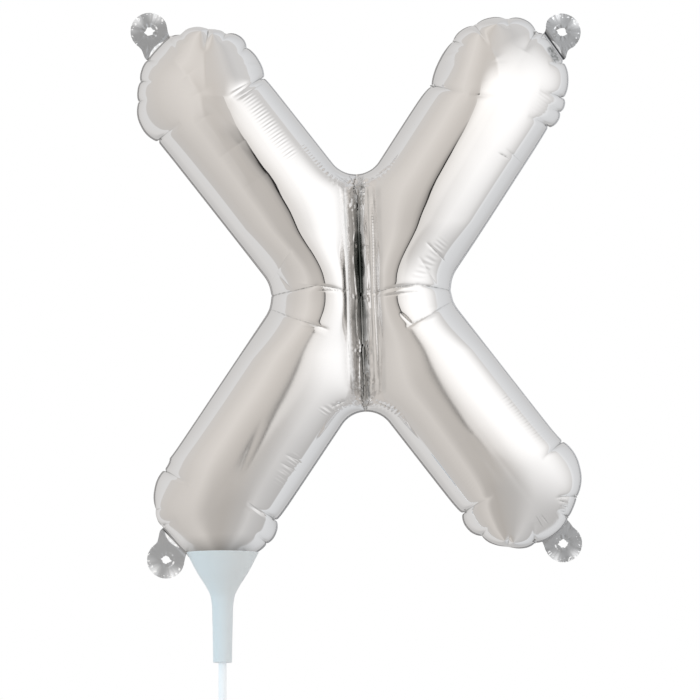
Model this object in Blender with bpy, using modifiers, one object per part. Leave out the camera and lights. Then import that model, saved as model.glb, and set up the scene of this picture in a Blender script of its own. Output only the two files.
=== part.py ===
"""A letter X foil balloon, filled with air, standing in the cup of a balloon stick.

Run with: blender --background --python part.py

Metres, +Z up, +X to the right and the balloon's face towards -Y. The origin is the centre of the
stick's lower end. The X is drawn in its own upright frame, with u to the right and v up from the
crossing of its four arms, and is then leant and lifted onto the stick as a whole.
"""

import math
from collections import namedtuple

import bmesh
import bpy
from mathutils import Matrix, Vector

MM = 0.001
GAP = 0.3 * MM  # kept between pieces that touch

# The stick, a drawn plastic tube
STICK_LENGTH = 396 * MM
STICK_RADIUS = 2.6 * MM
STICK_BORE = 1.9 * MM
STICK_SIDES = 24

# The cup, a cone on a sleeve that the stick is pushed into
CUP_FOOT = 360 * MM  # height of the sleeve's lower end
CUP_BORE = 2.85 * MM
CUP_WALL = 1.0 * MM
CUP_SIDES = 40
CUP_OUTSIDE = [  # radius, height above the cup's foot
    (23.4 * MM, 71.5 * MM),
    (15.7 * MM, 57.0 * MM),
    (10.9 * MM, 49.5 * MM),
    (8.1 * MM, 44.0 * MM),
    (7.1 * MM, 38.7 * MM),
    (6.6 * MM, 26.3 * MM),
    (6.1 * MM, 0.0 * MM),
]
CUP_THROAT = 39.5 * MM  # where the cone's inside narrows to the bore

# The balloon's outline at the foot of the domed foil, inside the sealed lip
CROSSING = Vector((89.7 * MM, 0.0, 600.2 * MM))
LEAN = math.radians(-2.1)  # the whole letter leans to the left
ARM_ANGLE = math.radians(35.75)  # of each arm, from upright
ARM_HALF_WIDTH = 37.3 * MM
ARM_OFFSET = 2.9 * MM  # of each arm's centre line, away from the centre weld
SHOULDER = 158.0 * MM  # along the arm, where its rounded end starts
TIP_HALF_WIDTH = 11.0 * MM  # the straight stretch that carries the tab
WAIST_HALF = 55.5 * MM  # centre weld to the side notches
NOTCH_HALF = 74.4 * MM  # crossing to the upper and lower notches
WELD_HALF = 1.5 * MM
SEAM_LIP = 3.0 * MM
FOIL = 1.0 * MM  # drawn far thicker than film, so that it is a solid
ARCH_STEPS = 10
END_STEPS = 7
SEAM_SIDE_ROUNDNESS = 2.7  # exponents of an arm end's outline, on its two sides, and of its arch
WAIST_SIDE_ROUNDNESS = 2.2
ARCH_ROUNDNESS = 2.3
SWELL_PLACE = 0.75  # below 1, so that an arm's end swells most near its shoulders

# Rungs from the centre weld side to the waist side, up to where the arm runs straight:
# run along the seam side, run along the waist side, height of the arch
RUNGS = [
    (0 * MM, 0 * MM, 27 * MM),
    (18 * MM, 5.5 * MM, 27.5 * MM),
    (36 * MM, 11 * MM, 28.5 * MM),
    (54 * MM, 17 * MM, 30 * MM),
    (67 * MM, 29 * MM, 31.5 * MM),
    (74.4 * MM, 40 * MM, 32.5 * MM),
    (82 * MM, 53 * MM, 33 * MM),
    (95 * MM, 68 * MM, 33 * MM),
    (112 * MM, 87 * MM, 33 * MM),
    (132 * MM, 107 * MM, 33 * MM),
]
ARM_DEPTH = 33 * MM

# The four arms, whose ends the air has pulled about a little as it filled them:
# right or left, up or down, how far the whole arm is pushed to its waist side, its reach, the shift
# of its end to the waist side, the turn that way in degrees, the swell of the end beyond the straight
# sides on the seam side and on the waist side, and how far its tab's disc is set to the seam side
Arm = namedtuple("Arm", "right up push reach shift turn seam_swell waist_swell disc_set")
ARMS = {
    "top_left": Arm(-1, 1, 0.4 * MM, 203.0 * MM, 2.0 * MM, 12, 4.8 * MM, 2.0 * MM, 4.5 * MM),
    "top_right": Arm(1, 1, -1.5 * MM, 200.0 * MM, 12.5 * MM, 20, 7.0 * MM, -2.0 * MM, 4.5 * MM),
    "bottom_left": Arm(-1, -1, 0.0 * MM, 198.9 * MM, 8.8 * MM, 2, 1.0 * MM, -4.0 * MM, 0.0 * MM),
    "bottom_right": Arm(1, -1, 0.0 * MM, 195.0 * MM, 0.5 * MM, 4, 2.0 * MM, 0.5 * MM, 1.5 * MM),
}

# The hanging tabs, two layers of flat film with a punched hole
TAB_HALF_THICKNESS = 0.4 * MM
TAB_RADIUS = 12.2 * MM
TAB_HOLE_RADIUS = 3.0 * MM
TAB_ROOT_HALF = 10.5 * MM
TAB_NECK = 3.0 * MM  # from the root to where the disc takes over
TAB_CENTRE = 11.5 * MM  # from the root to the disc's centre
TAB_GAP = 0.5 * MM
TAB_STEPS = 24

# The filling tail, folded down into the cup
TAIL_HALF_THICKNESS = 1.2 * MM
TAIL_TOP_HALF = 6.5 * MM
TAIL_FOOT_HALF = 3.0 * MM
TAIL_FOOT = 45.0 * MM  # above the cup's foot

ALONG = Vector((math.sin(ARM_ANGLE), math.cos(ARM_ANGLE)))
ACROSS = Vector((math.cos(ARM_ANGLE), -math.sin(ARM_ANGLE)))
OUTER_EDGE = ARM_OFFSET + ARM_HALF_WIDTH
INNER_EDGE = ARM_OFFSET - ARM_HALF_WIDTH

# Fillets that round the waist and the notches, from where the arms' straight edges would cross
WAIST_CORNER = OUTER_EDGE / math.cos(ARM_ANGLE)
WAIST_RADIUS = (WAIST_HALF - WAIST_CORNER) / (1 / math.cos(ARM_ANGLE) - 1)
NOTCH_CORNER = -INNER_EDGE / math.sin(ARM_ANGLE)
NOTCH_RADIUS = (NOTCH_HALF - NOTCH_CORNER) / (1 / math.sin(ARM_ANGLE) - 1)


def waist_side(run):
    """The outline's point this far from the waist, round its fillet and on up the arm's outer edge."""
    turn = min(run / WAIST_RADIUS, ARM_ANGLE)
    centre = Vector((WAIST_HALF + WAIST_RADIUS, 0))
    point = centre + WAIST_RADIUS * Vector((-math.cos(turn), math.sin(turn)))
    return point + max(0.0, run - WAIST_RADIUS * ARM_ANGLE) * ALONG


def seam_side(run):
    """The point this far up the centre weld, then round the notch and on up the arm's inner edge."""
    if run < NOTCH_HALF:
        return Vector((WELD_HALF, run))
    start = math.asin(WELD_HALF / NOTCH_RADIUS)
    end = math.pi / 2 - ARM_ANGLE
    turn = min(start + (run - NOTCH_HALF) / NOTCH_RADIUS, end)
    centre = Vector((0, NOTCH_HALF + NOTCH_RADIUS))
    point = centre + NOTCH_RADIUS * Vector((math.sin(turn), -math.cos(turn)))
    return point + max(0.0, run - NOTCH_HALF - NOTCH_RADIUS * (end - start)) * ALONG


def turned_across(turn):
    """The direction from the seam side to the waist side, once the arm's end is turned to the waist."""
    return Vector((math.cos(ARM_ANGLE + turn), -math.sin(ARM_ANGLE + turn)))


def round_off(share, exponent):
    """How much of its full size an arm's end still has at this share of its length."""
    return max(0.0, 1 - share**exponent) ** (1 / exponent)


def rungs_of_arm(arm):
    """Every rung of one arm: its end on the seam side, its end on the waist side, its arch's height."""
    rungs = []
    for seam_run, waist_run, high in RUNGS:
        past_notch = max(0.0, seam_run - NOTCH_HALF) / (SHOULDER - NOTCH_HALF)
        push = arm.push * past_notch * ACROSS
        rungs.append((seam_side(seam_run) + push, waist_side(waist_run) + push, high))
    rounded = ARM_HALF_WIDTH - TIP_HALF_WIDTH
    for step in range(END_STEPS + 1):
        share = math.sin(math.pi / 2 * step / END_STEPS)
        run = SHOULDER + share * (arm.reach - SHOULDER)
        middle = run * ALONG + (ARM_OFFSET + arm.push + arm.shift * share**2) * ACROSS
        across = turned_across(math.radians(arm.turn) * share**2)
        bulge = math.sin(math.pi * share**SWELL_PLACE)
        to_seam = TIP_HALF_WIDTH + rounded * round_off(share, SEAM_SIDE_ROUNDNESS) + arm.seam_swell * bulge
        to_waist = TIP_HALF_WIDTH + rounded * round_off(share, WAIST_SIDE_ROUNDNESS) + arm.waist_swell * bulge
        high = ARM_DEPTH * round_off(share, ARCH_ROUNDNESS)
        rungs.append((middle - to_seam * across, middle + to_waist * across, high))
    return rungs


def end_of_arm(arm):
    """The middle of an arm's last rung, and the directions out of the arm and along the rung."""
    seam, waist, _ = rungs_of_arm(arm)[-1]
    across = (waist - seam).normalized()
    return (seam + waist) / 2, Vector((-across.y, across.x)), across


def outward(points, index, side):
    """The outline's normal at a point of one of the arm's two sides, away from the foil."""
    before, after = points[max(index - 1, 0)], points[min(index + 1, len(points) - 1)]
    tangent = (after - before).normalized()
    return side * Vector((tangent.y, -tangent.x))


def lip_point(points, index, side):
    """The sealed lip's outer edge beside a point of the outline."""
    point = points[index]
    if side < 0 and point.x <= WELD_HALF + GAP:  # on the centre weld, which both halves share
        top = point.y >= NOTCH_HALF - GAP
        return Vector((0, NOTCH_HALF + SEAM_LIP if top else point.y))
    if index == 0:
        return point + SEAM_LIP * Vector((side, 0))
    return point + SEAM_LIP * outward(points, index, side)


def add_arm(mesh, arm):
    """One arm of a sheet's outer face, with its lip, as a loft of arches from rung to rung."""
    rungs = rungs_of_arm(arm)
    seam_ends = [rung[0] for rung in rungs]
    waist_ends = [rung[1] for rung in rungs]
    base = -(GAP / 2 + FOIL)

    def vertex(flat, height=0.0):
        return mesh.verts.new((arm.right * flat.x, base - height, arm.up * flat.y))

    def face(*corners):
        mesh.faces.new(corners if arm.right * arm.up > 0 else corners[::-1])

    rows = []
    for index, (seam, waist, high) in enumerate(rungs):
        row = [vertex(lip_point(seam_ends, index, -1))]
        for step in range(ARCH_STEPS + 1):
            turn = math.pi * step / ARCH_STEPS
            flat = (seam + waist) / 2 + (seam - waist) / 2 * math.cos(turn)
            row.append(vertex(flat, high * math.sin(turn)))
        row.append(vertex(lip_point(waist_ends, index, 1)))
        rows.append(row)
    for lower, upper in zip(rows, rows[1:]):
        for left in range(len(lower) - 1):
            face(lower[left], lower[left + 1], upper[left + 1], upper[left])

    tip = rows[-1]
    middle, out, across = end_of_arm(arm)
    lip = []
    for step in range(ARCH_STEPS + 1):
        share = -math.cos(math.pi * step / ARCH_STEPS)
        lip.append(vertex(middle + share * TIP_HALF_WIDTH * across + SEAM_LIP * out))
    face(tip[0], tip[1], lip[0])
    face(tip[-2], tip[-1], lip[-1])
    for left in range(ARCH_STEPS):
        face(tip[left + 1], tip[left + 2], lip[left + 1], lip[left])


def sheet_face(name):
    """The outer face of a whole sheet: four arms that share the centre weld and the waist lines."""
    mesh = bmesh.new()
    for arm in ARMS.values():
        add_arm(mesh, arm)
    bmesh.ops.remove_doubles(mesh, verts=mesh.verts, dist=0.02 * MM)
    data = bpy.data.meshes.new(name)
    mesh.to_mesh(data)
    mesh.free()
    data.shade_smooth()
    return data


def principled(name, colour, roughness, metallic=0.0):
    """A plain surface of one colour."""
    made = bpy.data.materials.new(name)
    made.use_nodes = True
    shader = made.node_tree.nodes["Principled BSDF"]
    shader.inputs["Base Color"].default_value = (*colour, 1.0)
    shader.inputs["Roughness"].default_value = roughness
    shader.inputs["Metallic"].default_value = metallic
    return made


def place(name, data, collection, material, parent=None):
    """An object for one piece, linked, coloured and hung on its empty."""
    piece = bpy.data.objects.new(name, data)
    data.materials.append(material)
    collection.objects.link(piece)
    piece.parent = parent
    return piece


def make_sheet(name, front, collection, material, letter):
    """One of the two foil sheets, given its thickness inwards. The back one is the front's mirror image."""
    sheet = place(name, sheet_face(name), collection, material, letter)
    if not front:
        mirrored = Matrix.Diagonal((1, -1, 1, 1))
        sheet.data.transform(mirrored)
        sheet.data.flip_normals()
    skin = sheet.modifiers.new("Foil thickness", "SOLIDIFY")
    skin.thickness = FOIL
    skin.offset = -1
    skin.solidify_mode = "NON_MANIFOLD"
    skin.nonmanifold_thickness_mode = "CONSTRAINTS"
    return sheet


def turned(name, profile, sides, collection, material, parent):
    """A piece turned about its own Z axis from a closed profile of (radius, height), shaded smooth."""
    data = bpy.data.meshes.new(name)
    count = len(profile)
    points = [(radius, 0, height) for radius, height in profile]
    data.from_pydata(points, [(i, (i + 1) % count) for i in range(count)], [])
    piece = place(name, data, collection, material, parent)
    screw = piece.modifiers.new("Turned", "SCREW")
    screw.steps = screw.render_steps = sides
    screw.use_merge_vertices = True
    screw.merge_threshold = 0.01 * MM
    screw.use_smooth_shade = True
    return piece


def make_cup(collection, material, parent):
    """Cone and sleeve in one moulding, with an even wall round the cone and a bore for the stick."""
    inside = [(CUP_BORE, 0.0), (CUP_BORE, CUP_THROAT)]
    above = [(radius - CUP_WALL, height) for radius, height in CUP_OUTSIDE if height > CUP_THROAT]
    inside += reversed(above)
    return turned("cup", CUP_OUTSIDE + inside, CUP_SIDES, collection, material, parent)


def make_stick(collection, material, parent):
    """A straight tube from the origin up into the cup's sleeve."""
    profile = [
        (STICK_RADIUS, STICK_LENGTH),
        (STICK_RADIUS, 0.0),
        (STICK_BORE, 0.0),
        (STICK_BORE, STICK_LENGTH),
    ]
    return turned("stick", profile, STICK_SIDES, collection, material, parent)


def flat_curve(name, outlines, half_thickness):
    """Closed outlines in one plane, filled and given a thickness. The second one is a hole."""
    curve = bpy.data.curves.new(name, "CURVE")
    curve.dimensions = "2D"
    curve.fill_mode = "BOTH"
    curve.extrude = half_thickness
    for points in outlines:
        spline = curve.splines.new("POLY")
        spline.points.add(len(points) - 1)
        for control, (x, y) in zip(spline.points, points):
            control.co = (x, y, 0, 1)
        spline.use_cyclic_u = True
    return curve


def tab_outlines(aside):
    """The tab's outline from its root, which lies on the x axis, and its punched hole.

    The disc's centre lies this far aside from the root's middle.
    """
    turn = math.acos((TAB_CENTRE - TAB_NECK) / TAB_RADIUS)
    start, end = turn - math.pi / 2, 1.5 * math.pi - turn
    disc = Vector((aside, TAB_CENTRE))
    outline = [Vector((-TAB_ROOT_HALF, 0)), Vector((TAB_ROOT_HALF, 0))]
    hole = []
    for step in range(TAB_STEPS + 1):
        angle = start + (end - start) * step / TAB_STEPS
        outline.append(disc + TAB_RADIUS * Vector((math.cos(angle), math.sin(angle))))
    for step in range(TAB_STEPS):
        angle = 2 * math.pi * step / TAB_STEPS
        hole.append(disc + TAB_HOLE_RADIUS * Vector((math.cos(angle), math.sin(angle))))
    return [outline, hole]


def make_tab(name, arm, collection, material, letter):
    """The hanging tab of one arm, with its origin on the fold line at its root."""
    outlines = tab_outlines(-arm.right * arm.up * arm.disc_set)
    tab = place(name, flat_curve(name, outlines, TAB_HALF_THICKNESS), collection, material, letter)
    middle, out, _ = end_of_arm(arm)
    root = middle + (SEAM_LIP + TAB_GAP) * out
    tab.location = (arm.right * root.x, 0, arm.up * root.y)
    tab.rotation_euler = (math.pi / 2, math.atan2(arm.right * out.x, arm.up * out.y), 0)
    return tab


def make_tail(collection, material):
    """The filling tail, from the lowest point of the lip down to the cup's throat."""
    to_world = Matrix.Translation(CROSSING) @ Matrix.Rotation(LEAN, 4, "Y")
    rungs = rungs_of_arm(ARMS["bottom_left"])
    sides = ([rung[0] for rung in rungs], [rung[1] for rung in rungs])
    lip = [lip_point(side, i, way) for side, way in zip(sides, (-1, 1)) for i in range(len(rungs))]
    lip_points = [to_world @ Vector((-point.x, 0, -point.y)) for point in lip]
    lowest = min(lip_points, key=lambda point: point.z)
    top, foot = lowest.z - GAP - CUP_FOOT, TAIL_FOOT
    outline = [
        (lowest.x - TAIL_TOP_HALF, top),
        (-TAIL_FOOT_HALF, foot),
        (TAIL_FOOT_HALF, foot),
        (lowest.x + TAIL_TOP_HALF, top),
    ]
    flat = flat_curve("filling_tail", [outline], TAIL_HALF_THICKNESS)
    tail = place("filling_tail", flat, collection, material)
    tail.location = (0, 0, CUP_FOOT)
    tail.rotation_euler = (math.pi / 2, 0, 0)
    return tail


def main():
    """Clears the scene and builds the balloon, its cup and its stick."""
    for old in list(bpy.data.objects):
        bpy.data.objects.remove(old)
    collection = bpy.data.collections.new("Letter foil balloon")
    bpy.context.scene.collection.children.link(collection)

    foil = principled("silver_foil", (0.80, 0.79, 0.78), 0.12, 1.0)
    flat_foil = principled("flat_foil", (0.68, 0.68, 0.68), 0.2, 1.0)
    cup_plastic = principled("cup_plastic", (0.79, 0.84, 0.86), 0.45)
    stick_plastic = principled("stick_plastic", (0.90, 0.92, 0.96), 0.4)

    letter = bpy.data.objects.new("letter_frame", None)
    letter.location = CROSSING
    letter.rotation_euler = (0, LEAN, 0)
    collection.objects.link(letter)
    make_sheet("foil_front", True, collection, foil, letter)
    make_sheet("foil_back", False, collection, foil, letter)
    for corner, arm in ARMS.items():
        make_tab(f"tab_{corner}", arm, collection, flat_foil, letter)
    make_tail(collection, flat_foil)

    cup_frame = bpy.data.objects.new("cup_frame", None)
    cup_frame.location = (0, 0, CUP_FOOT)
    collection.objects.link(cup_frame)
    make_cup(collection, cup_plastic, cup_frame)
    make_stick(collection, stick_plastic, None)


main()
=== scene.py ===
"""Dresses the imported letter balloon: mirror foil with its puckers and creases, crinkled tabs, and the
satin plastic of the cup and the stick, in a plain white studio.

Metres, +Z up, the balloon's face towards -Y. The letter is drawn in its own upright frame, with u to
the right and v up from the crossing of its arms, and is then leant onto the stick as the frame has it.
"""

import math
from collections import namedtuple

import bpy
import numpy as np
from bpy.props import FloatProperty, FloatVectorProperty, IntProperty, PointerProperty
from mathutils import Matrix, Vector


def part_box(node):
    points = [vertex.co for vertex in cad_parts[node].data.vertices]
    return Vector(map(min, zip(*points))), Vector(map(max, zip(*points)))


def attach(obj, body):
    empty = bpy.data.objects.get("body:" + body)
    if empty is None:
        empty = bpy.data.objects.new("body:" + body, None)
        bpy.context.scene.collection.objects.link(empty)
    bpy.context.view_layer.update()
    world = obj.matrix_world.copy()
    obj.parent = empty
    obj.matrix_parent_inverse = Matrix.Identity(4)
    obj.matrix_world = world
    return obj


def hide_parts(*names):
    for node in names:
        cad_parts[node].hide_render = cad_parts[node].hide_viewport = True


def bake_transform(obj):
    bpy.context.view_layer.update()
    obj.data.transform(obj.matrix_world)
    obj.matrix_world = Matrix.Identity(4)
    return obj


bl_info = {
    "name": "Letter Foil Balloon",
    "version": (1, 0, 0),
    "blender": (4, 5, 0),
    "location": "3D View > Sidebar > Balloon",
    "description": "Builds the foil, tabs, cup and stick of a letter balloon round its packed frame",
    "category": "Object",
}

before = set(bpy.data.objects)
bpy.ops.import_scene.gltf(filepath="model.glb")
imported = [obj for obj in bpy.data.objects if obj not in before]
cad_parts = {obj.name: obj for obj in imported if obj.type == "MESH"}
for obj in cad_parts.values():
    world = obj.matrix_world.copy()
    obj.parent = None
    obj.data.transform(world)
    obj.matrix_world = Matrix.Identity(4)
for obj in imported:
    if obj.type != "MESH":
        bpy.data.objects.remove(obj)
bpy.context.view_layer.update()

MM = 0.001

# The letter as the frame has it, with the film's seam drawn narrower than the solid's lip
CROSSING = Vector((89.7 * MM, 0.0, 600.2 * MM))
LEAN = math.radians(-2.1)
ARM_ANGLE = math.radians(35.75)
FOOT_OUT = 2.2 * MM  # the dome's foot, outside the solid's
CREST_DRAW = 0.27  # how far the crest leans to the weld at the waist, for its height
SEAM = 0.8 * MM
SEAM_GAP = 0.12 * MM  # half the gap between the two sheets inside the seal
RIM_GAP = 0.02 * MM  # and at the seal's outer edge
ARM_HALF_WIDTH = 37.3 * MM + FOOT_OUT
ARM_OFFSET = 2.9 * MM
SHOULDER = 158.0 * MM
TIP_HALF_WIDTH = 11.0 * MM
WAIST_HALF = 55.5 * MM + FOOT_OUT
NOTCH_HALF = 74.4 * MM + FOOT_OUT
WELD_HALF = 0.4 * MM
GROOVE_HALF = 10.5 * MM  # half the width of the puckered groove along the centre weld
GROOVE_FALL = 0.42  # how much lower its bottom is than its edges
GROOVE_CURVE = 2.2  # how much its right flank is curved, where 1 is straight
DEPTH_SHARE = 0.87  # of a round section's height, that the arms reach
CAP_START = 154.0 * MM  # where the ends of the arms start to slope off
CREST_BEND = 0.30  # how softly the slope starts on the crest, as a share of its length
SEAM_BEND = 0.03  # and by the seams
CREST_SHARE = 0.7  # of the half width, from which it starts as by the seams
LOBE_FULLNESS = 2.4  # of the seam's lobes, where 2 is a plain arc
LOBE_FADE = 5 * MM  # how fast the lobes' shift dies out past the last one
SEAM_SIDE_ROUNDNESS = 2.7
WAIST_SIDE_ROUNDNESS = 2.2
SWELL_PLACE = 0.75

# Links from each point of a grid to the next row, the next column and both ways aslant, as the points
# at the links' two ends
FIRST, LAST, ALL = slice(0, -1), slice(1, None), slice(None)
LINKS = {
    "down": ((FIRST, ALL), (LAST, ALL)),
    "right": ((ALL, FIRST), (ALL, LAST)),
    "fall": ((FIRST, FIRST), (LAST, LAST)),
    "rise": ((FIRST, LAST), (LAST, FIRST)),
}
LEFT_OVER = 1e-16  # share of the pressure at which the membrane counts as balanced
MOST_STEPS = 6000
NO_AREA, NO_LENGTH = 1e-16, 1e-12  # keep a division from failing at a flattened cell

ALONG = np.array((math.sin(ARM_ANGLE), math.cos(ARM_ANGLE)))
ACROSS = np.array((math.cos(ARM_ANGLE), -math.sin(ARM_ANGLE)))
OUTER_EDGE = ARM_OFFSET + ARM_HALF_WIDTH
INNER_EDGE = ARM_OFFSET - ARM_HALF_WIDTH
WAIST_CORNER = OUTER_EDGE / math.cos(ARM_ANGLE)
WAIST_RADIUS = (WAIST_HALF - WAIST_CORNER) / (1 / math.cos(ARM_ANGLE) - 1)
NOTCH_CORNER = -INNER_EDGE / math.sin(ARM_ANGLE)
NOTCH_RADIUS = (NOTCH_HALF - NOTCH_CORNER) / (1 / math.sin(ARM_ANGLE) - 1)

# Places read off the photo are in its pixels, from its top left corner
PIXEL = 0.65 * MM
CROSSING_PIXEL = (361.0, 292.9)
RIM_PIXEL = (217.0, 549.0)

# The arms, with the same pulls as the frame's: push, reach, shift and turn of the end, and swells of its
# two sides; then the share of its height that its tip loses, and the seed of its random waves
Arm = namedtuple("Arm", "right up push reach shift turn seam_swell waist_swell fall seed")
ARMS = {
    "top_left": Arm(-1, 1, 0.4 * MM, 203.0 * MM, 2.0 * MM, 12, 4.8 * MM, 2.0 * MM, 0.26, 11),
    "top_right": Arm(1, 1, -1.5 * MM, 200.0 * MM, 12.5 * MM, 20, 7.0 * MM, -2.0 * MM, 0.26, 12),
    "bottom_left": Arm(-1, -1, 0.0 * MM, 198.9 * MM, 8.8 * MM, 2, 1.0 * MM, -4.0 * MM, 0.14, 13),
    "bottom_right": Arm(1, -1, 0.0 * MM, 195.0 * MM, 0.5 * MM, 4, 2.0 * MM, 0.5 * MM, 0.22, 14),
}

# How the rungs across an arm fan out from the waist: run along the seam side, run along the waist side
RungRun = namedtuple("RungRun", "seam waist")
FAN = [
    RungRun(0 * MM, 0 * MM),
    RungRun(18 * MM, 5.5 * MM),
    RungRun(36 * MM, 11 * MM),
    RungRun(54 * MM, 17 * MM),
    RungRun(67 * MM, 27 * MM),
    RungRun(NOTCH_HALF, 38 * MM),
    RungRun(86 * MM, 53 * MM),
    RungRun(99 * MM, 69 * MM),
    RungRun(116 * MM, 88 * MM),
    RungRun(136 * MM, 108.6 * MM),
]


def waist_side(run):
    """Points this far from the waist, round its fillet and on up the arm's outer edge."""
    turn = np.minimum(run / WAIST_RADIUS, ARM_ANGLE)
    straight = np.maximum(0.0, run - WAIST_RADIUS * ARM_ANGLE)[:, None]
    curved = np.stack([WAIST_HALF + WAIST_RADIUS * (1 - np.cos(turn)), WAIST_RADIUS * np.sin(turn)], 1)
    return curved + straight * ALONG


def seam_side(run):
    """Points this far up the centre weld, then round the notch and on up the arm's inner edge."""
    start = math.asin(WELD_HALF / NOTCH_RADIUS)
    end = math.pi / 2 - ARM_ANGLE
    turn = np.clip(start + (run - NOTCH_HALF) / NOTCH_RADIUS, start, end)
    straight = np.maximum(0.0, run - NOTCH_HALF - NOTCH_RADIUS * (end - start))[:, None]
    curved = np.stack([NOTCH_RADIUS * np.sin(turn), NOTCH_HALF + NOTCH_RADIUS * (1 - np.cos(turn))], 1)
    on_weld = np.stack([np.full_like(run, WELD_HALF), run], 1)
    return np.where((run < NOTCH_HALF)[:, None], on_weld, curved + straight * ALONG)


def smooth_through(x, known_x, known_y):
    """A smooth curve through known points, read at x."""
    known_x, known_y = np.asarray(known_x, float), np.asarray(known_y, float)
    slopes = np.gradient(known_y, known_x)
    cell = np.clip(np.searchsorted(known_x, x) - 1, 0, len(known_x) - 2)
    width = known_x[cell + 1] - known_x[cell]
    t = (x - known_x[cell]) / width
    start, end = (1 + 2 * t) * (1 - t) ** 2, t**2 * (3 - 2 * t)
    leave, arrive = t * (1 - t) ** 2 * width, t**2 * (t - 1) * width
    places = start * known_y[cell] + end * known_y[cell + 1]
    return places + leave * slopes[cell] + arrive * slopes[cell + 1]


def eased(share):
    """A share from 0 to 1 that starts and ends gently."""
    return share * share * (3 - 2 * share)


def round_off(share, exponent):
    """How much of its full size an arm's end still has at this share of its length."""
    return np.maximum(0.0, 1 - share**exponent) ** (1 / exponent)


def rungs_of_arm(arm, straight_rows, end_rows):
    """The two ends of every rung across one arm, from the waist line to the tip."""
    last = FAN[-1]
    seam_left = SHOULDER - seam_side(np.array([last.seam]))[0] @ ALONG
    waist_left = SHOULDER - waist_side(np.array([last.waist]))[0] @ ALONG
    fan = FAN + [RungRun(last.seam + seam_left, last.waist + waist_left)]
    seam_known, waist_known = (np.array(column) for column in zip(*fan))
    mean_run = (seam_known + waist_known) / 2
    notch_mean = mean_run[FAN.index(next(r for r in FAN if r.seam == NOTCH_HALF))]
    weld_rows = round(straight_rows * notch_mean / mean_run[-1])
    runs = np.concatenate(
        [
            np.linspace(0, notch_mean, weld_rows + 1),
            np.linspace(notch_mean, mean_run[-1], straight_rows - weld_rows + 1)[1:-1],
        ]
    )
    seam_run = smooth_through(runs, mean_run, seam_known)
    waist_run = smooth_through(runs, mean_run, waist_known)
    seam_run[weld_rows] = NOTCH_HALF
    past_notch = np.maximum(0.0, seam_run - NOTCH_HALF) / (SHOULDER - NOTCH_HALF)
    push = (arm.push * past_notch)[:, None] * ACROSS
    seam, waist = seam_side(seam_run) + push, waist_side(waist_run) + push

    share = np.sin(math.pi / 2 * np.arange(end_rows + 1) / end_rows)
    run = SHOULDER + share * (arm.reach + FOOT_OUT - SHOULDER)
    middle = run[:, None] * ALONG + (ARM_OFFSET + arm.push + arm.shift * share**2)[:, None] * ACROSS
    angle = ARM_ANGLE + np.radians(arm.turn) * share**2
    across = np.stack([np.cos(angle), -np.sin(angle)], 1)
    bulge = np.sin(math.pi * share**SWELL_PLACE)
    rounded = ARM_HALF_WIDTH - TIP_HALF_WIDTH
    to_seam = TIP_HALF_WIDTH + rounded * round_off(share, SEAM_SIDE_ROUNDNESS) + arm.seam_swell * bulge
    to_waist = TIP_HALF_WIDTH + rounded * round_off(share, WAIST_SIDE_ROUNDNESS) + arm.waist_swell * bulge
    end_seam, end_waist = middle - to_seam[:, None] * across, middle + to_waist[:, None] * across
    return np.concatenate([seam, end_seam]), np.concatenate([waist, end_waist]), weld_rows


def flat_grid(seam, waist, columns):
    """Points across every rung, close together near the two edges."""
    share = (1 - np.cos(math.pi * np.arange(columns + 1) / columns)) / 2
    return seam[:, None] + share[None, :, None] * (waist - seam)[:, None]


def stiffness(flat):
    """Weights of the grid's four kinds of link, and each point's area, for a stretched membrane. Each
    cell counts as cut into two triangles both ways, at half weight."""
    corners = {"a": (FIRST, FIRST), "b": (FIRST, LAST), "c": (LAST, LAST), "d": (LAST, FIRST)}
    sides = {
        "ab": ("right", (FIRST, ALL)),
        "cd": ("right", (LAST, ALL)),
        "ad": ("down", (ALL, FIRST)),
        "bc": ("down", (ALL, LAST)),
        "ac": ("fall", (ALL, ALL)),
        "bd": ("rise", (ALL, ALL)),
    }
    area = np.zeros(flat.shape[:2])
    links = {name: np.zeros_like(area[start]) for name, (start, _) in LINKS.items()}
    for triangle in ("abc", "acd", "abd", "bcd"):
        p, q, r = (flat[corners[name]] for name in triangle)
        twice = np.abs((q - p)[..., 0] * (r - p)[..., 1] - (q - p)[..., 1] * (r - p)[..., 0])
        for name in triangle:
            area[corners[name]] += twice / 12
            first, second = (other for other in triangle if other != name)
            ways = [flat[corners[other]] - flat[corners[name]] for other in (first, second)]
            link, where = sides["".join(sorted(first + second))]
            links[link][where] += (ways[0] * ways[1]).sum(-1) / np.maximum(twice, NO_AREA) / 4
    return links, area


def pulled(links, value):
    """How hard the membrane pulls at each point for these heights."""
    pull = np.zeros_like(value)
    for name, (start, end) in LINKS.items():
        along = links[name] * (value[start] - value[end])
        pull[start] += along
        pull[end] -= along
    return pull


def blown_height(flat):
    """The height of the film over a flat outline when air fills it, as from a stretched membrane, found
    step by step until almost nothing of the pressure is left over."""
    links, area = stiffness(flat)
    free = np.ones_like(area)
    free[:, 0] = free[:, -1] = free[-1] = 0
    stiff = np.zeros_like(area)
    for name, ends in LINKS.items():
        for end in ends:
            stiff[end] += links[name]
    value = np.zeros_like(area)
    left = area * free
    step = left / stiff
    was = (left * step).sum()
    target = was * LEFT_OVER
    for _ in range(MOST_STEPS):
        pull = pulled(links, step) * free
        size = was / (step * pull).sum()
        value += size * step
        left -= size * pull
        ready = left / stiff
        now = (left * ready).sum()
        if now < target:
            break
        step = ready + now / was * step
        was = now
    return np.sqrt(2 * np.maximum(value, 0))


def hump(x, half, power=2):
    """A smooth hump, 1 at 0, that falls off at this half width, more sharply with a higher power."""
    return np.exp(-(np.abs(x / half) ** power))


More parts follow.
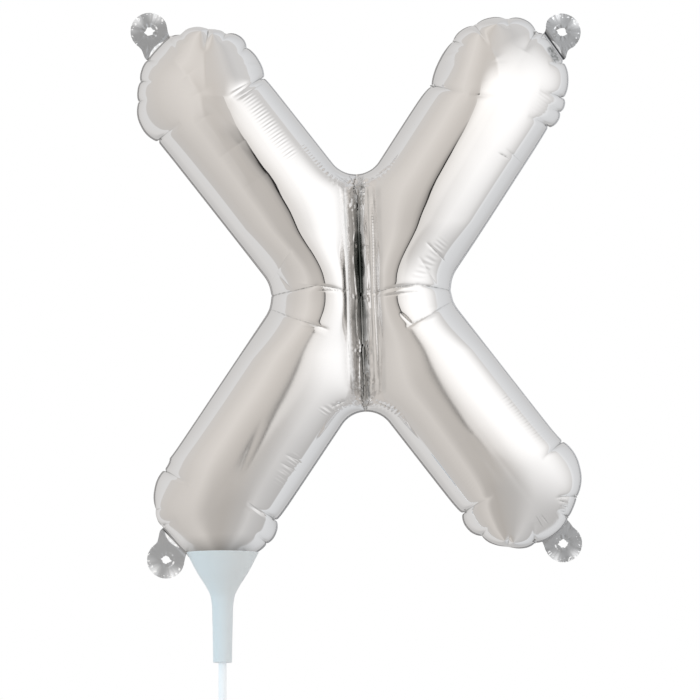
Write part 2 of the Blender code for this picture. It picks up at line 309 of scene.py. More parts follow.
def waves(x, seed, count=4096):
    """Smooth random values between -1 and 1, one for each unit of x."""
    values = np.random.default_rng(seed).uniform(-1, 1, count)
    cell = np.floor(x).astype(int)
    t = eased(x - cell)
    return values[cell % count] * (1 - t) + values[(cell + 1) % count] * t


def patches(x, y, seed, count=256):
    """Smooth random values over a plane, one for each unit square."""
    values = np.random.default_rng(seed).uniform(-1, 1, (count, count))
    column, row = np.floor(x).astype(int), np.floor(y).astype(int)
    s, t = eased(x - column), eased(y - row)
    column, beside = column % count, (column + 1) % count
    row, above = row % count, (row + 1) % count
    low = values[column, row] * (1 - s) + values[beside, row] * s
    high = values[column, above] * (1 - s) + values[beside, above] * s
    return low * (1 - t) + high * t


def cap_fall(arm, flat):
    """How the arm's end slopes off past its shoulders, sharply by the seams and softly on the crest."""
    past = (flat @ ALONG - CAP_START) / (arm.reach - CAP_START)
    aside = np.abs(flat @ ACROSS - ARM_OFFSET) / ARM_HALF_WIDTH
    bend = CREST_BEND - (CREST_BEND - SEAM_BEND) * np.clip(aside / CREST_SHARE, 0, 1)
    return 1 - arm.fall * np.clip((np.sqrt(past**2 + bend**2) + past) / 2, 0, 1.5)


def outline_of(flat, weld_rows):
    """The seam round an arm's outside, from the notch over the tip to the waist, and its runs."""
    seam = flat[weld_rows:, 0]
    tip = flat[-1, 1:-1]
    waist = flat[::-1, -1]
    points = np.concatenate([seam, tip, waist])
    steps = np.linalg.norm(np.diff(points, axis=0), axis=1)
    return points, np.concatenate([[0], np.cumsum(steps)])


def nearest_on_outline(flat, points, runs):
    """For every grid point, its distance from the seam and the run of the seam point nearest to it."""
    flat_points = flat.reshape(-1, 2)
    best = np.full(len(flat_points), np.inf)
    index = np.zeros(len(flat_points), int)
    block_size = 64  # points looked at together, to spare memory
    for start in range(0, len(points), block_size):
        block = points[start : start + block_size]
        gaps = ((flat_points[:, None] - block[None]) ** 2).sum(-1)
        nearest = gaps.argmin(1)
        found = gaps[np.arange(len(gaps)), nearest]
        closer = found < best
        best[closer] = found[closer]
        index[closer] = start + nearest[closer]
    distance = np.sqrt(best)
    run = runs[index]
    for other in (-1, 1):
        beside = np.clip(index + other, 0, len(points) - 1)
        edge = points[beside] - points[index]
        length = np.maximum(np.linalg.norm(edge, axis=1), NO_LENGTH)
        share = np.clip(((flat_points - points[index]) * edge).sum(1) / length**2, 0, 1)
        gap = np.linalg.norm(flat_points - points[index] - share[:, None] * edge, axis=1)
        closer = gap < distance
        distance[closer] = gap[closer]
        run[closer] = (runs[index] + share * (runs[beside] - runs[index]))[closer]
    return distance.reshape(flat.shape[:2]), run.reshape(flat.shape[:2])


def outward_of(points):
    """The outline's normals in its plane, away from the foil."""
    tangent = np.gradient(points, axis=0)
    tangent /= np.linalg.norm(tangent, axis=1)[:, None]
    return np.stack([-tangent[:, 1], tangent[:, 0]], 1)


def new_mesh_object(name, points, faces, materials):
    """A smooth mesh object from world points."""
    data = bpy.data.meshes.new(name)
    data.from_pydata(np.asarray(points).tolist(), [], faces)
    data.shade_smooth()
    for material in materials:
        data.materials.append(material)
    piece = bpy.data.objects.new(name, data)
    bpy.context.scene.collection.objects.link(piece)
    return piece


def keep_value(piece, name, values):
    """Keeps one value for each point of a mesh under this name."""
    piece.data.attributes.new(name, "FLOAT", "POINT").data.foreach_set("value", values)


def to_world(u, depth, v):
    """World points of the letter frame's u, v and depth towards the back."""
    cosine, sine = math.cos(LEAN), math.sin(LEAN)
    return np.stack([CROSSING.x + cosine * u + sine * v, depth, CROSSING.z - sine * u + cosine * v], -1)


# Where the seam is drawn in round an arm's end, from the notch side to the waist side: a point of the
# seam, the inner end of the fold that runs in from it, the fold's depth and how far the lobe between
# this point and the next stands out, in millimetres, and how dark the painted shade along the fold's line is
Pinch = namedtuple("Pinch", "x y fold_x fold_y depth bulge mark")
PINCHES = {
    "top_left": [
        Pinch(263, 77.5, 232, 102, 2.2, 2.8, 0.9),
        Pinch(245.6, 47.3, 240, 56, 1.0, 4.0, 0.6),
        Pinch(225, 34.4, 222, 44, 0.8, 2.2, 0.3),
        Pinch(208, 32, 205, 54, 1.6, 4.1, 0.9),
        Pinch(181, 35.0, 184, 44, 0.5, 0.3, 0.0),
        Pinch(170.5, 36.0, 176, 56, 1.2, 0.6, 0.0),
        Pinch(148.5, 59.5, 158, 62, 1.0, 1.8, 0.5),
        Pinch(141.5, 81, 152, 83, 1.0, 1.4, 0.8),
        Pinch(139.6, 101, 147, 101, 0.6, 5.5, 0.5),
        Pinch(158.5, 140.5, 181, 126, 2.0, 0.0, 0.9),
    ],
    "top_right": [
        Pinch(432.5, 86, 468, 99, 2.2, 2.8, 0.9),
        Pinch(454, 41, 466, 47, 1.2, 2.9, 0.8),
        Pinch(475.5, 26, 497, 60, 1.6, 3.5, 0.3),
        Pinch(507, 19.7, 508, 30, 0.7, 4.7, 0.1),
        Pinch(535.5, 32, 524, 53, 1.8, 0.0, 0.8),
        Pinch(543.5, 33.5, 538, 44, 0.8, 0.6, 0.7),
        Pinch(563, 62, 548, 64, 1.6, 3.0, 0.6),
        Pinch(562.5, 97, 539, 93, 2.0, 2.0, 0.9),
        Pinch(558.8, 111, 548, 110, 0.6, 2.5, 0.4),
        Pinch(548, 126, 527, 119, 1.4, 0.0, 0.5),
    ],
    "bottom_left": [
        Pinch(275.6, 520, 248, 507, 2.0, 2.9, 0.9),
        Pinch(266.3, 543, 256, 536, 0.8, 1.5, 0.5),
        Pinch(245, 556, 243, 548, 0.6, 8.0, 0.2),
        Pinch(187, 553, 192, 545, 1.0, 0.6, 0.2),
        Pinch(164.5, 526, 178, 522, 1.2, 1.7, 0.4),
        Pinch(158, 510, 166, 509, 0.5, 3.7, 0.4),
        Pinch(165.4, 470.6, 190, 488, 2.0, 0.0, 0.9),
    ],
    "bottom_right": [
        Pinch(463, 513, 493, 498, 2.2, 4.0, 0.9),
        Pinch(482, 535, 488, 528, 0.7, 2.6, 0.5),
        Pinch(507.5, 544, 509, 536, 0.7, 2.8, 0.4),
        Pinch(534, 542, 532, 524, 1.4, 3.6, 0.4),
        Pinch(566.5, 517, 556, 512, 1.2, 0.6, 0.6),
        Pinch(575, 497, 556, 499, 1.2, 6.6, 0.8),
        Pinch(561.5, 442, 541, 463, 2.2, 0.0, 0.9),
    ],
}

PINCH_DEPTH = 0.8  # of the stated depth, at the seam
PINCH_WIDTH = 0.45 * MM
PINCH_SPREAD = 0.05  # how much wider for each millimetre in from the seam
FOLD_ROUND = 0.2 * MM  # radius of a fold's bottom
MARK_HALF = 1.6 * MM  # how far to a fold's side its line of painted shade and crease bump is marked
FAR_ASIDE = 5 * MM  # stands for no marked fold nearby

# Folds elsewhere in the film, from end to end: depth and width in millimetres, where less than no depth
# is a ridge, and how dark the painted shade along the fold's line is
Fold = namedtuple("Fold", "x y to_x to_y depth width mark")
FOLDS = [
    Fold(271, 296, 293, 293.7, 0.9, 1.0, 1.0),
    Fold(293, 293.7, 317.5, 288.7, 1.0, 1.1, 0.9),
    Fold(317.5, 288.7, 348, 293.7, 0.9, 0.8, 0.9),
    Fold(300, 286.5, 346, 293, -0.35, 0.6, 0.0),
    Fold(319, 294, 347, 294, 0.3, 0.5, 0.5),
    Fold(372.5, 296, 391, 291.5, 0.8, 0.7, 0.9),
    Fold(391, 291.5, 417.5, 288, 0.9, 0.9, 0.9),
    Fold(417.5, 288, 450, 290.5, 1.0, 1.2, 0.8),
    Fold(373, 298.5, 403, 294, -0.35, 0.6, 0.0),
    Fold(378, 300, 418, 294.5, 0.3, 0.5, 0.4),
    Fold(271, 310, 293, 321, 0.5, 0.8, 0.5),
    Fold(293, 321, 327, 332.5, 0.7, 1.0, 0.5),
    Fold(300, 328, 320, 331, -0.3, 0.6, 0.0),
    Fold(452, 302, 430, 317, 0.5, 0.8, 0.4),
    Fold(430, 317, 408, 330, 0.7, 1.0, 0.5),
    Fold(401, 318, 412, 328, 0.5, 0.6, 0.6),
    Fold(278, 276, 290, 290, 0.3, 0.8, 0.3),
    Fold(288, 458, 302, 464, 0.3, 0.5, 0.3),
    Fold(283, 466, 297, 473, 0.3, 0.5, 0.3),
    Fold(279, 474, 290, 480, -0.25, 0.5, 0.0),
    Fold(333, 409, 345, 403, 0.35, 0.6, 0.5),
    Fold(378, 404, 392, 411, 0.35, 0.6, 0.5),
    Fold(376, 178, 388, 170, 0.35, 0.6, 0.4),
    Fold(336, 176, 347, 184, 0.35, 0.6, 0.4),
    Fold(420, 262, 436, 286, 0.3, 0.8, 0.2),
    Fold(344, 186, 344, 240, 0.25, 0.5, 0.4),
    Fold(344, 238, 346.5, 292, 0.25, 0.5, 0.4),
    Fold(347, 296, 347.5, 340, 0.25, 0.5, 0.4),
    Fold(347.5, 338, 353, 396, 0.25, 0.5, 0.4),
    Fold(372, 190, 377, 240, 0.2, 0.5, 0.3),
    Fold(377, 238, 378, 290, 0.2, 0.5, 0.3),
    Fold(379, 300, 382, 345, 0.2, 0.5, 0.4),
    Fold(382, 343, 378, 396, 0.2, 0.5, 0.4),
    Fold(354, 187.5, 366, 188.5, 0.3, 0.5, 0.9),
    Fold(354, 193, 365, 193.5, 0.3, 0.5, 0.9),
    Fold(349, 176, 356, 187, 0.4, 0.6, 0.8),
    Fold(363, 176, 360, 187, 0.4, 0.6, 0.7),
    Fold(171, 60, 188, 78, -0.7, 4.0, 0.0),
    Fold(188, 78, 200, 97, -0.8, 4.5, 0.0),
    Fold(200, 97, 206, 121, -0.8, 4.5, 0.0),
    Fold(206, 121, 230, 155, -0.7, 5.0, 0.0),
    Fold(230, 155, 252, 188, -0.5, 5.0, 0.0),
    Fold(201, 98, 231, 101, -0.5, 3.5, 0.0),
    Fold(204, 56, 206, 90, -0.4, 3.0, 0.0),
    Fold(481, 27, 497, 65, -0.6, 2.5, 0.0),
    Fold(497, 65, 500, 86, -0.4, 4.0, 0.0),
    Fold(262, 425, 236, 488, 0.55, 6.0, 0.0),
    Fold(468, 440, 500, 484, 0.45, 6.0, 0.0),
    Fold(468, 99, 493, 101, 0.4, 2.0, 0.1),
    Fold(541, 37, 549, 39, 0.5, 0.8, 0.6),
    Fold(549, 39, 559, 50, 0.8, 0.9, 1.0),
    Fold(559, 50, 563, 60, 0.5, 0.8, 0.9),
    Fold(231, 99, 252, 84, -0.25, 0.5, 0.0),
    Fold(233, 95, 250, 85, 0.25, 0.5, 0.4),
    Fold(238, 103, 262, 86, 0.3, 0.6, 0.4),
    Fold(499, 157, 507, 161, 0.3, 0.5, 0.7),
    Fold(507, 153, 520, 163, 0.25, 0.6, 0.3),
    Fold(427.5, 247.5, 444, 262.5, 0.4, 0.6, 0.7),
    Fold(272, 281, 290, 256, 0.3, 1.2, 0.1),
    Fold(170, 480.5, 190, 487, -0.3, 0.5, 0.0),
    Fold(248, 509, 262, 519, -0.35, 0.5, 0.0),
    Fold(250, 505.5, 265, 517, 0.3, 0.5, 0.4),
    Fold(556, 499, 568, 498, 0.35, 0.6, 0.4),
    Fold(558, 502, 567, 504, 0.35, 0.5, 0.6),
    Fold(561, 507, 567, 508, 0.3, 0.4, 0.6),
    Fold(560, 512, 565, 513, 0.3, 0.4, 0.5),
    Fold(536, 519, 541, 527, 0.3, 0.5, 0.5),
    Fold(541, 517, 547, 524, 0.3, 0.5, 0.5),
]

# Stretches of the film that are finely rippled beside a seam: depth and spread in millimetres
Ripple = namedtuple("Ripple", "x y to_x to_y depth spread")
RIPPLES = [
    Ripple(248, 97, 288, 158, 0.11, 5.0),
    Ripple(306, 150, 337, 184, 0.12, 3.0),
    Ripple(545, 97, 541, 118, 0.07, 5.0),
    Ripple(440, 248, 418, 280, 0.10, 3.5),
    Ripple(506, 401, 540, 441, 0.12, 3.5),
    Ripple(448, 466, 469, 491, 0.11, 3.5),
    Ripple(296, 463, 282, 483, 0.14, 4.0),
    Ripple(535, 525, 554, 516, 0.12, 3.0),
    Ripple(430, 318, 414, 326, 0.10, 4.0),
    Ripple(300, 326, 324, 334, 0.08, 4.0),
    Ripple(326, 413, 351, 404, 0.16, 2.6),
    Ripple(376, 404, 399, 414, 0.16, 2.6),
    Ripple(376, 181, 394, 170, 0.14, 2.6),
]

RIPPLE_LENGTH = 2.3 * MM

# Painted shade along the bottom of the centre groove: its middle and half width in the photo's pixels, and
# how dark it is
Core = namedtuple("Core", "y x half dark")
POCKET = (551.0, 49.0, 556.0, 60.0)  # the ends of the patch of painted shade in the pocket beside the top right tab
CORES = [
    Core(172, 360, 3.0, 0.0),
    Core(190, 359, 4.4, 0.40),
    Core(206, 358.6, 4.0, 0.50),
    Core(222, 358.8, 2.6, 0.65),
    Core(231, 359.0, 1.6, 0.85),
    Core(241, 359.5, 3.2, 0.92),
    Core(262, 360.0, 3.9, 0.96),
    Core(285, 361.0, 3.0, 0.94),
    Core(302, 362.0, 2.2, 0.88),
    Core(318, 363.5, 4.4, 0.72),
    Core(335, 364.0, 3.8, 0.65),
    Core(346, 364.5, 1.6, 0.6),
    Core(357, 364.7, 2.0, 0.8),
    Core(368, 364.8, 2.6, 0.5),
    Core(405, 365.5, 2.5, 0.3),
]

# Bands of painted shade along the groove: where each runs at the groove's top and at its foot, its half
# width, and how dark it is
Band = namedtuple("Band", "x foot_x half dark")
BAND_TOP_Y, BAND_FOOT_Y = 190, 395
BANDS = [
    Band(343.8, 352.5, 0.9, 0.38),
    Band(347.4, 354.5, 2.8, 0.22),
    Band(350.8, 357.5, 0.7, 0.40),
    Band(367.5, 374.5, 0.7, 0.35),
    Band(373.5, 379.5, 0.8, 0.35),
    Band(378.0, 383.5, 2.6, 0.12),
]

GROOVE_SHADE = 0.38  # painted shade of the groove beside its core
RIM_SHADE = 0.6  # and the painted shadow on the film just above the cup
CUP_HAZE, FLANK_HAZE = 1.2, 1.4  # dullness above the cup and beside the groove, where the crests' is 1

# Fine relief along the centre groove
UNEVEN_DEPTH = 0.08 * MM
TICK_LENGTH, TICK_DEPTH = 1.95 * MM, 0.09 * MM
THREAD_DEPTH = 0.10 * MM
RIDGE_OUT, RIDGE_HEIGHT = 1.6 * MM, 0.32 * MM  # of the ridges beside the painted dark core

# Crumpled places along the centre weld
Crumple = namedtuple("Crumple", "v spread depth")
CRUMPLES = [
    Crumple(71 * MM, 6 * MM, 0.55 * MM),
    Crumple(55 * MM, 5 * MM, 0.25 * MM),
    Crumple(29 * MM, 3 * MM, 0.30 * MM),
    Crumple(-4 * MM, 2.5 * MM, 0.35 * MM),
    Crumple(-38 * MM, 5 * MM, 0.40 * MM),
    Crumple(-60 * MM, 9 * MM, 0.40 * MM),
    Crumple(-74 * MM, 5 * MM, 0.55 * MM),
]


def on_letter(x, y):
    """A place in the photo as a point of the letter frame."""
    side, rise = (x - CROSSING_PIXEL[0]) * PIXEL, (CROSSING_PIXEL[1] - y) * PIXEL
    cosine, sine = math.cos(LEAN), math.sin(LEAN)
    return np.array((cosine * side - sine * rise, sine * side + cosine * rise))


def beside_line(u, v, x, y, to_x, to_y):
    """For every point, its share of a line's length, its distance to the line's side, and past its ends."""
    start = on_letter(x, y)
    reach = on_letter(to_x, to_y) - start
    length = np.linalg.norm(reach)
    along = ((u - start[0]) * reach[0] + (v - start[1]) * reach[1]) / length
    aside = ((u - start[0]) * reach[1] - (v - start[1]) * reach[0]) / length
    past = np.maximum(0, -along) + np.maximum(0, along - length)
    return np.clip(along / length, 0, 1), aside, past


def fold_all(u, v, pinches, inward):
    """How deep the folds are at every point, and for the film's crease bump and painted shade lines the
    distance to the side of the nearest marked fold and that fold's strength."""
    lines = [
        (*pinch[:4], PINCH_DEPTH * pinch.depth * MM, PINCH_WIDTH + PINCH_SPREAD * inward, pinch.mark, True)
        for pinch in pinches
    ]
    lines += [(*fold[:4], fold.depth * MM, fold.width * MM, fold.mark, False) for fold in FOLDS]
    sunk, side, strength = np.zeros_like(u), np.full_like(u, FAR_ASIDE), np.zeros_like(u)
    for x, y, to_x, to_y, depth, width, mark, fading in lines:
        share, aside, past = beside_line(u, v, x, y, to_x, to_y)
        taper = (1 - share) ** 0.8 if fading else np.sin(math.pi * (0.06 + 0.88 * share)) ** 0.6
        seen = (1 - share) ** 3 if fading else taper * (0.6 + 0.4 * waves(40 * share + 90, round(x)))
        spread = np.sqrt(aside**2 + past**2 + FOLD_ROUND**2) - FOLD_ROUND
        sunk += depth * taper * np.exp(-spread / width)
        shown = mark * seen * hump(aside, MARK_HALF, 4) * hump(past, MM)
        side = np.where(shown > strength, aside, side)
        strength = np.maximum(shown, strength)
    return sunk, side, strength


def core_at(u, v):
    """For every point, its distance to the side of the groove's core of painted shade, and the core's half
    width and how dark it is there."""
    rows = CORES[::-1]
    x, y = np.array([on_letter(core.x, core.y) for core in rows]).T
    half, dark = ([getattr(core, name) for core in rows] for name in ("half", "dark"))
    return u - np.interp(v, y, x), np.interp(v, y, half) * PIXEL, np.interp(v, y, dark)


def painted_shade_of(u, v):
    """How much painted shade darkens the film in the centre groove and in the pocket by a tab, with a
    painted shadow just above the cup.
    """
    aside, half, dark = core_at(u, v)
    spread = half * (1 + 0.25 * waves(v / (4 * MM) + 200, 44))
    inner = dark * hump(aside, spread, 4)
    outer = GROOVE_SHADE * hump(aside, 3.4 * MM, 6) * (np.abs(v) < 70 * MM)
    for band in BANDS:
        top, foot = on_letter(band.x, BAND_TOP_Y), on_letter(band.foot_x, BAND_FOOT_Y)
        off = u - np.interp(v, (foot[1], top[1]), (foot[0], top[0]))
        shade = band.dark * (0.8 + 0.3 * waves(v / (7 * MM) + 200, round(band.x)))
        shade = shade * hump(off, band.half * PIXEL, 4) * np.clip(17 - np.abs(v) / (4 * MM), 0, 1)
        outer = np.maximum(outer, shade)
    _, aside, past = beside_line(u, v, *POCKET)
    pocket = hump(np.hypot(aside / (2.7 * MM), past / (1.8 * MM)), 1, 4)
    pocket *= 0.55 + 0.3 * patches(u / (0.9 * MM) + 60, v / (0.9 * MM) + 400, 48)
    rim = on_letter(*RIM_PIXEL)
    over = np.clip((v - rim[1] + 3 * MM) / (12 * MM), 0, 1)
    shadow = RIM_SHADE * (1 - over) ** 1.4 * hump(u - rim[0], 22 * MM, 6) * (v < 0)
    return np.maximum(np.maximum(inner, outer), np.maximum(pocket, shadow))


def haze_of(arm, flat, u, v):
    """Where the film is dull: along the crests below the waist, above the cup and beside the groove."""
    below = np.clip((flat[..., 1] - 22 * MM) / (6 * MM), 0, 1)
    crest = (arm.up < 0) * below * hump(flat @ ACROSS - ARM_OFFSET, 17 * MM, 4)
    rim = on_letter(*RIM_PIXEL)
    by_cup = hump(np.hypot((u - rim[0]) / (26 * MM), (v - rim[1]) / (12 * MM)), 1, 4)
    flank = hump(np.abs(u) - 9 * MM, 4 * MM, 4) * (np.abs(v) < 62 * MM)
    return np.maximum(np.maximum(crest, CUP_HAZE * by_cup), FLANK_HAZE * flank)


def lobed(pinches, arm, points, runs):
    """How far each point of the outline moves to stand on the lobes between the pinches."""
    seam = np.array([on_letter(pinch.x, pinch.y) * (arm.right, arm.up) for pinch in pinches])
    nearest = ((seam[:, None] - points[None]) ** 2).sum(-1).argmin(1)
    places = runs[nearest]
    if places[0] > places[-1]:
        seam, places, pinches = seam[::-1], places[::-1], pinches[::-1]
    moves = np.zeros_like(points)
    for index in range(len(seam) - 1):
        start, end = places[index], places[index + 1]
        inside = (runs >= start) & (runs < end)
        share = ((runs[inside] - start) / (end - start))[:, None]
        chord = seam[index + 1] - seam[index]
        outward = np.array((-chord[1], chord[0])) / np.linalg.norm(chord)
        arc = pinches[index].bulge * MM * (1 - np.abs(2 * share - 1) ** LOBE_FULLNESS)
        target = seam[index] + share * chord + arc * outward
        moves[inside] = target - points[inside]
    for end, beyond in ((0, runs < places[0]), (-1, runs >= places[-1])):
        here = np.array([np.interp(places[end], runs, points[:, axis]) for axis in (0, 1)])
        fade = np.exp(-np.abs(runs[beyond] - places[end]) / LOBE_FADE)[:, None]
        moves[beyond] = (seam[end] - here) * fade
    return moves


def groove_floor(arm, flat, height):
    """The height of the puckered groove along the centre weld, from the dome's height at its edges."""
    edge = np.array([np.interp(GROOVE_HALF, row[:, 0], high) for row, high in zip(flat, height)])
    off_middle = flat[..., 0] / GROOVE_HALF
    curve = GROOVE_CURVE if arm.right > 0 else 1.0
    floor = edge[:, None] * (1 - GROOVE_FALL * np.clip(1 - off_middle, 0, 1) ** curve)
    floor *= 1 - np.clip(flat[..., 1] / NOTCH_HALF, 0, 1) ** 8
    return floor * hump(off_middle, 1.12, 10)


def dome_normals(surface, edge_normal, weld_rows):
    """The dome's normals, which lie in the letter's plane along its outline and at the waist line."""
    down, right = np.gradient(surface, axis=0), np.gradient(surface, axis=1)
    normal = np.cross(right, down)
    normal /= np.maximum(np.linalg.norm(normal, axis=-1), NO_LENGTH)[..., None]
    normal *= np.where(normal[..., 2:] < 0, -1, 1)
    normal[0, :, 1] = 0
    normal /= np.maximum(np.linalg.norm(normal, axis=-1), NO_LENGTH)[..., None]
    rows = len(surface)
    count = rows - weld_rows
    normal[weld_rows:, 0, :2], normal[weld_rows:, 0, 2] = edge_normal[:count], 0
    normal[-1, 1:-1, :2], normal[-1, 1:-1, 2] = edge_normal[count:-rows], 0
    normal[::-1, -1, :2], normal[:, -1, 2] = edge_normal[-rows:], 0
    normal[0, -1] = (1, 0, 0)
    return normal


def ripple_all(u, v, run, seed):
    """How deep the fine ripples beside the seams are at every point."""
    sunk = np.zeros_like(u)
    comb = np.sin(2 * math.pi * run / RIPPLE_LENGTH + 1.2 * waves(run / (9 * MM), seed + 7))
    uneven = 0.65 + 0.35 * waves(run / (3.1 * MM) + 50, seed + 8)
    for *line, depth, spread in RIPPLES:
        _, aside, past = beside_line(u, v, *line)
        sunk += depth * MM * comb * hump(aside, spread * MM, 4) * hump(past, 3 * MM) * uneven
    return sunk


def arm_film(corner, arm, side, settings, density):
    """One arm of a sheet: its grid of points in the letter frame, the seam's outer edge, the grid's row
    at the notch and the values for the film's fold lines, painted shade and haze. The side is -1 for
    the front, 1 for the back."""
    counts = (settings.rows, settings.end_rows, settings.columns)
    rows, end_rows, columns = (round(density * count) for count in counts)
    seam, waist, weld_rows = rungs_of_arm(arm, rows, end_rows)
    flat = flat_grid(seam, waist, columns)
    height = DEPTH_SHARE * blown_height(flat) * cap_fall(arm, flat)
    height = (height**10 + groove_floor(arm, flat, height) ** 10) ** (1 / 10)
    points, runs = outline_of(flat, weld_rows)
    distance, run = nearest_on_outline(flat, points, runs)
    inward = ARM_HALF_WIDTH * np.arccos(np.clip(1 - distance / ARM_HALF_WIDTH, 0, 1))

    moves = lobed(PINCHES[corner], arm, points, runs)
    fade = hump(inward, 14 * MM, 1.7)
    for axis in (0, 1):
        flat[..., axis] += fade * np.interp(run, runs, moves[:, axis])
    points = points + moves
    near_waist = eased(np.clip((42 * MM - flat[..., 1]) / (36 * MM), 0, 1))
    near_waist = near_waist * (1 - hump(flat[..., 0], 15 * MM, 4))
    flat[..., 0] -= CREST_DRAW * near_waist * height
    dome = np.concatenate([flat, height[..., None]], -1)
    edge_normal = outward_of(points)
    normal = dome_normals(dome, edge_normal, weld_rows)

    u, v = arm.right * flat[..., 0], arm.up * flat[..., 1]
    sunk, fold_side, fold_strength = fold_all(u, v, PINCHES[corner], inward)
    sunk += settings.ripple * ripple_all(u, v, run, arm.seed)
    wide = patches(u / (15 * MM) + 40, v / (15 * MM) + 40, 50 + (side > 0))
    sunk += 0.05 * MM * wide * np.clip(height / (25 * MM), 0, 1)
    sunk += weld_puckers(u, v, side)
    surface = dome - sunk[..., None] * normal
    surface[:weld_rows, 0, :2] = flat[:weld_rows, 0]
    surface[0, :, 1] = 0
    surface[..., 2] = np.maximum(surface[..., 2], 0)
    edge = surface[..., :2]
    edge = np.concatenate([edge[weld_rows:, 0], edge[-1, 1:-1], edge[::-1, -1]])
    edge_normal[0], edge_normal[-1] = (0, 1), (1, 0)
    fold_shade_and_haze = np.stack([1000 * fold_side, fold_strength, painted_shade_of(u, v), haze_of(arm, flat, u, v)], -1)
    return surface, edge + SEAM * edge_normal, weld_rows, fold_shade_and_haze


def weld_puckers(u, v, side):
    """Fine ticks and threads along the centre groove, ridges beside its painted dark core, and crumpled
    places.
    """
    aside, back = np.abs(u), side > 0
    uneven = patches(v / (1.5 * MM) + 60, u / (6 * MM) + 60, 60 + back)
    sunk = UNEVEN_DEPTH * uneven * hump(aside - 7 * MM, 4 * MM)
    ticks = np.sin(2 * math.pi * v / TICK_LENGTH + 1.5 * waves(v / (6 * MM) + 40, 45))
    sunk += TICK_DEPTH * ticks * hump(u - 9.8 * MM, 1.8 * MM) * hump(v - 22 * MM, 42 * MM, 6)
    threads = waves(u / (0.55 * MM) + 60 + 0.6 * waves(v / (5 * MM) + 60, 46), 47)
    sunk += THREAD_DEPTH * threads * hump(u, 3.6 * MM, 6)
    beside_core, half, _ = core_at(u, v)
    ridge = hump(np.abs(beside_core) - half - RIDGE_OUT, 0.55 * MM, 1.5)
    sunk -= RIDGE_HEIGHT * ridge * (1 + 0.3 * waves(v / (5 * MM) + 90, 49))
    for crumple in CRUMPLES:
        spot = crumple.depth * hump(v - crumple.v, crumple.spread) * hump(aside, 7.5 * MM, 4)
        sunk += spot * patches(v / (1.3 * MM) + 90, u / (1.5 * MM) + 90, 70 + back)
        sunk += 0.3 * spot * patches(v / (0.7 * MM) + 90, u / (0.8 * MM) + 90, 72)
    return sunk * (np.abs(v) < NOTCH_HALF - 2 * MM)


# The film's values for its fold lines, painted shade and haze, kept on each point of the mesh
FOLD_SHADE_AND_HAZE = ("fold_side", "fold_strength", "painted_shade", "haze")
JOIN_REACH = 0.002 * MM  # how close the arms' points at the waist line are joined


def foil_sheet(name, side, corners, settings, density, materials):
    """Arms of a sheet, joined along the waist line and closed up to the middle of the centre weld."""
    points, faces, seam_faces, fold_shades_and_hazes = [], [], [], []
    total = 0
    for corner in corners:
        arm = ARMS[corner]
        surface, rim, weld_rows, fold_shade_and_haze = arm_film(corner, arm, side, settings, density)
        rows, columns = surface.shape[:2]
        index = total + np.arange(rows * columns).reshape(rows, columns)
        rim_index = total + rows * columns + np.arange(len(rim))
        middle_index = rim_index[-1] + 1 + np.arange(weld_rows + 2)
        total = middle_index[-1] + 1
        edge = np.concatenate([index[weld_rows:, 0], index[-1, 1:-1], index[::-1, -1]])
        weld = np.append(index[: weld_rows + 1, 0], rim_index[0])

        world = to_world(
            arm.right * surface[..., 0], side * (SEAM_GAP + surface[..., 2]), arm.up * surface[..., 1]
        )
        lip = to_world(arm.right * rim[:, 0], np.full(len(rim), side * RIM_GAP), arm.up * rim[:, 1])
        deep = np.append(side * (SEAM_GAP + surface[: weld_rows + 1, 0, 2]), side * RIM_GAP)
        high = np.append(surface[: weld_rows + 1, 0, 1], rim[0, 1])
        middle = to_world(np.zeros(weld_rows + 2), deep, arm.up * high)
        points += [world.reshape(-1, 3), lip, middle]
        fold_shade_and_haze = fold_shade_and_haze.reshape(-1, len(FOLD_SHADE_AND_HAZE))
        fold_shades_and_hazes += [fold_shade_and_haze, fold_shade_and_haze[edge - index[0, 0]]]
        fold_shades_and_hazes += [fold_shade_and_haze[weld[:-1] - index[0, 0]], fold_shade_and_haze[weld[-2:-1] - index[0, 0]]]

        quads = np.stack([index[:-1, :-1], index[:-1, 1:], index[1:, 1:], index[1:, :-1]], -1).reshape(-1, 4)
        weld_quads = np.stack([middle_index[:-1], weld[:-1], weld[1:], middle_index[1:]], -1)
        rim_quads = np.stack([edge[:-1], edge[1:], rim_index[1:], rim_index[:-1]], -1)
        way = -1 if arm.right * arm.up * side > 0 else 1
        faces += quads[:, ::way].tolist() + weld_quads[:, ::way].tolist()
        seam_faces += rim_quads[:, ::way].tolist()
    piece = new_mesh_object(name, np.concatenate(points), faces + seam_faces, materials)
    slots = np.repeat((0, 1), (len(faces), len(seam_faces)))
    piece.data.polygons.foreach_set("material_index", slots)
    for value_name, values in zip(FOLD_SHADE_AND_HAZE, np.concatenate(fold_shades_and_hazes).T):
        keep_value(piece, value_name, values)
    join = piece.modifiers.new("Join at the waist", "WELD")
    join.merge_threshold = JOIN_REACH
    return piece


def principled(name, colour, roughness, metallic=0.0):
    """A material and its shader, with one colour to start from."""
    made = bpy.data.materials.new(name)
    made.use_nodes = True
    shader = made.node_tree.nodes["Principled BSDF"]
    shader.inputs["Base Color"].default_value = (*colour, 1.0)
    shader.inputs["Roughness"].default_value = roughness
    shader.inputs["Metallic"].default_value = metallic
    return made, shader


def new_group(name, inputs, outputs):
    """An empty node group with these sockets, given as name and kind, and its two end nodes."""
    tree = bpy.data.node_groups.new(name, "ShaderNodeTree")
    for way, sockets in (("INPUT", inputs), ("OUTPUT", outputs)):
        for socket, kind in sockets:
            tree.interface.new_socket(socket, in_out=way, socket_type=f"NodeSocket{kind}")
    return tree, tree.nodes.new("NodeGroupInput").outputs, tree.nodes.new("NodeGroupOutput").inputs


LINE_WIDTH = 0.32  # half the width of a fold's crease bump and painted shade line, in millimetres
# how dark the painted shade along a fold's line is
FOLD_SHADE_DARKNESS = 0.85
PAINTED_SHADE_FOIL = (0.035, 0.045, 0.04)  # the colour of the painted shade in the film's folds, groove and pocket and above the cup
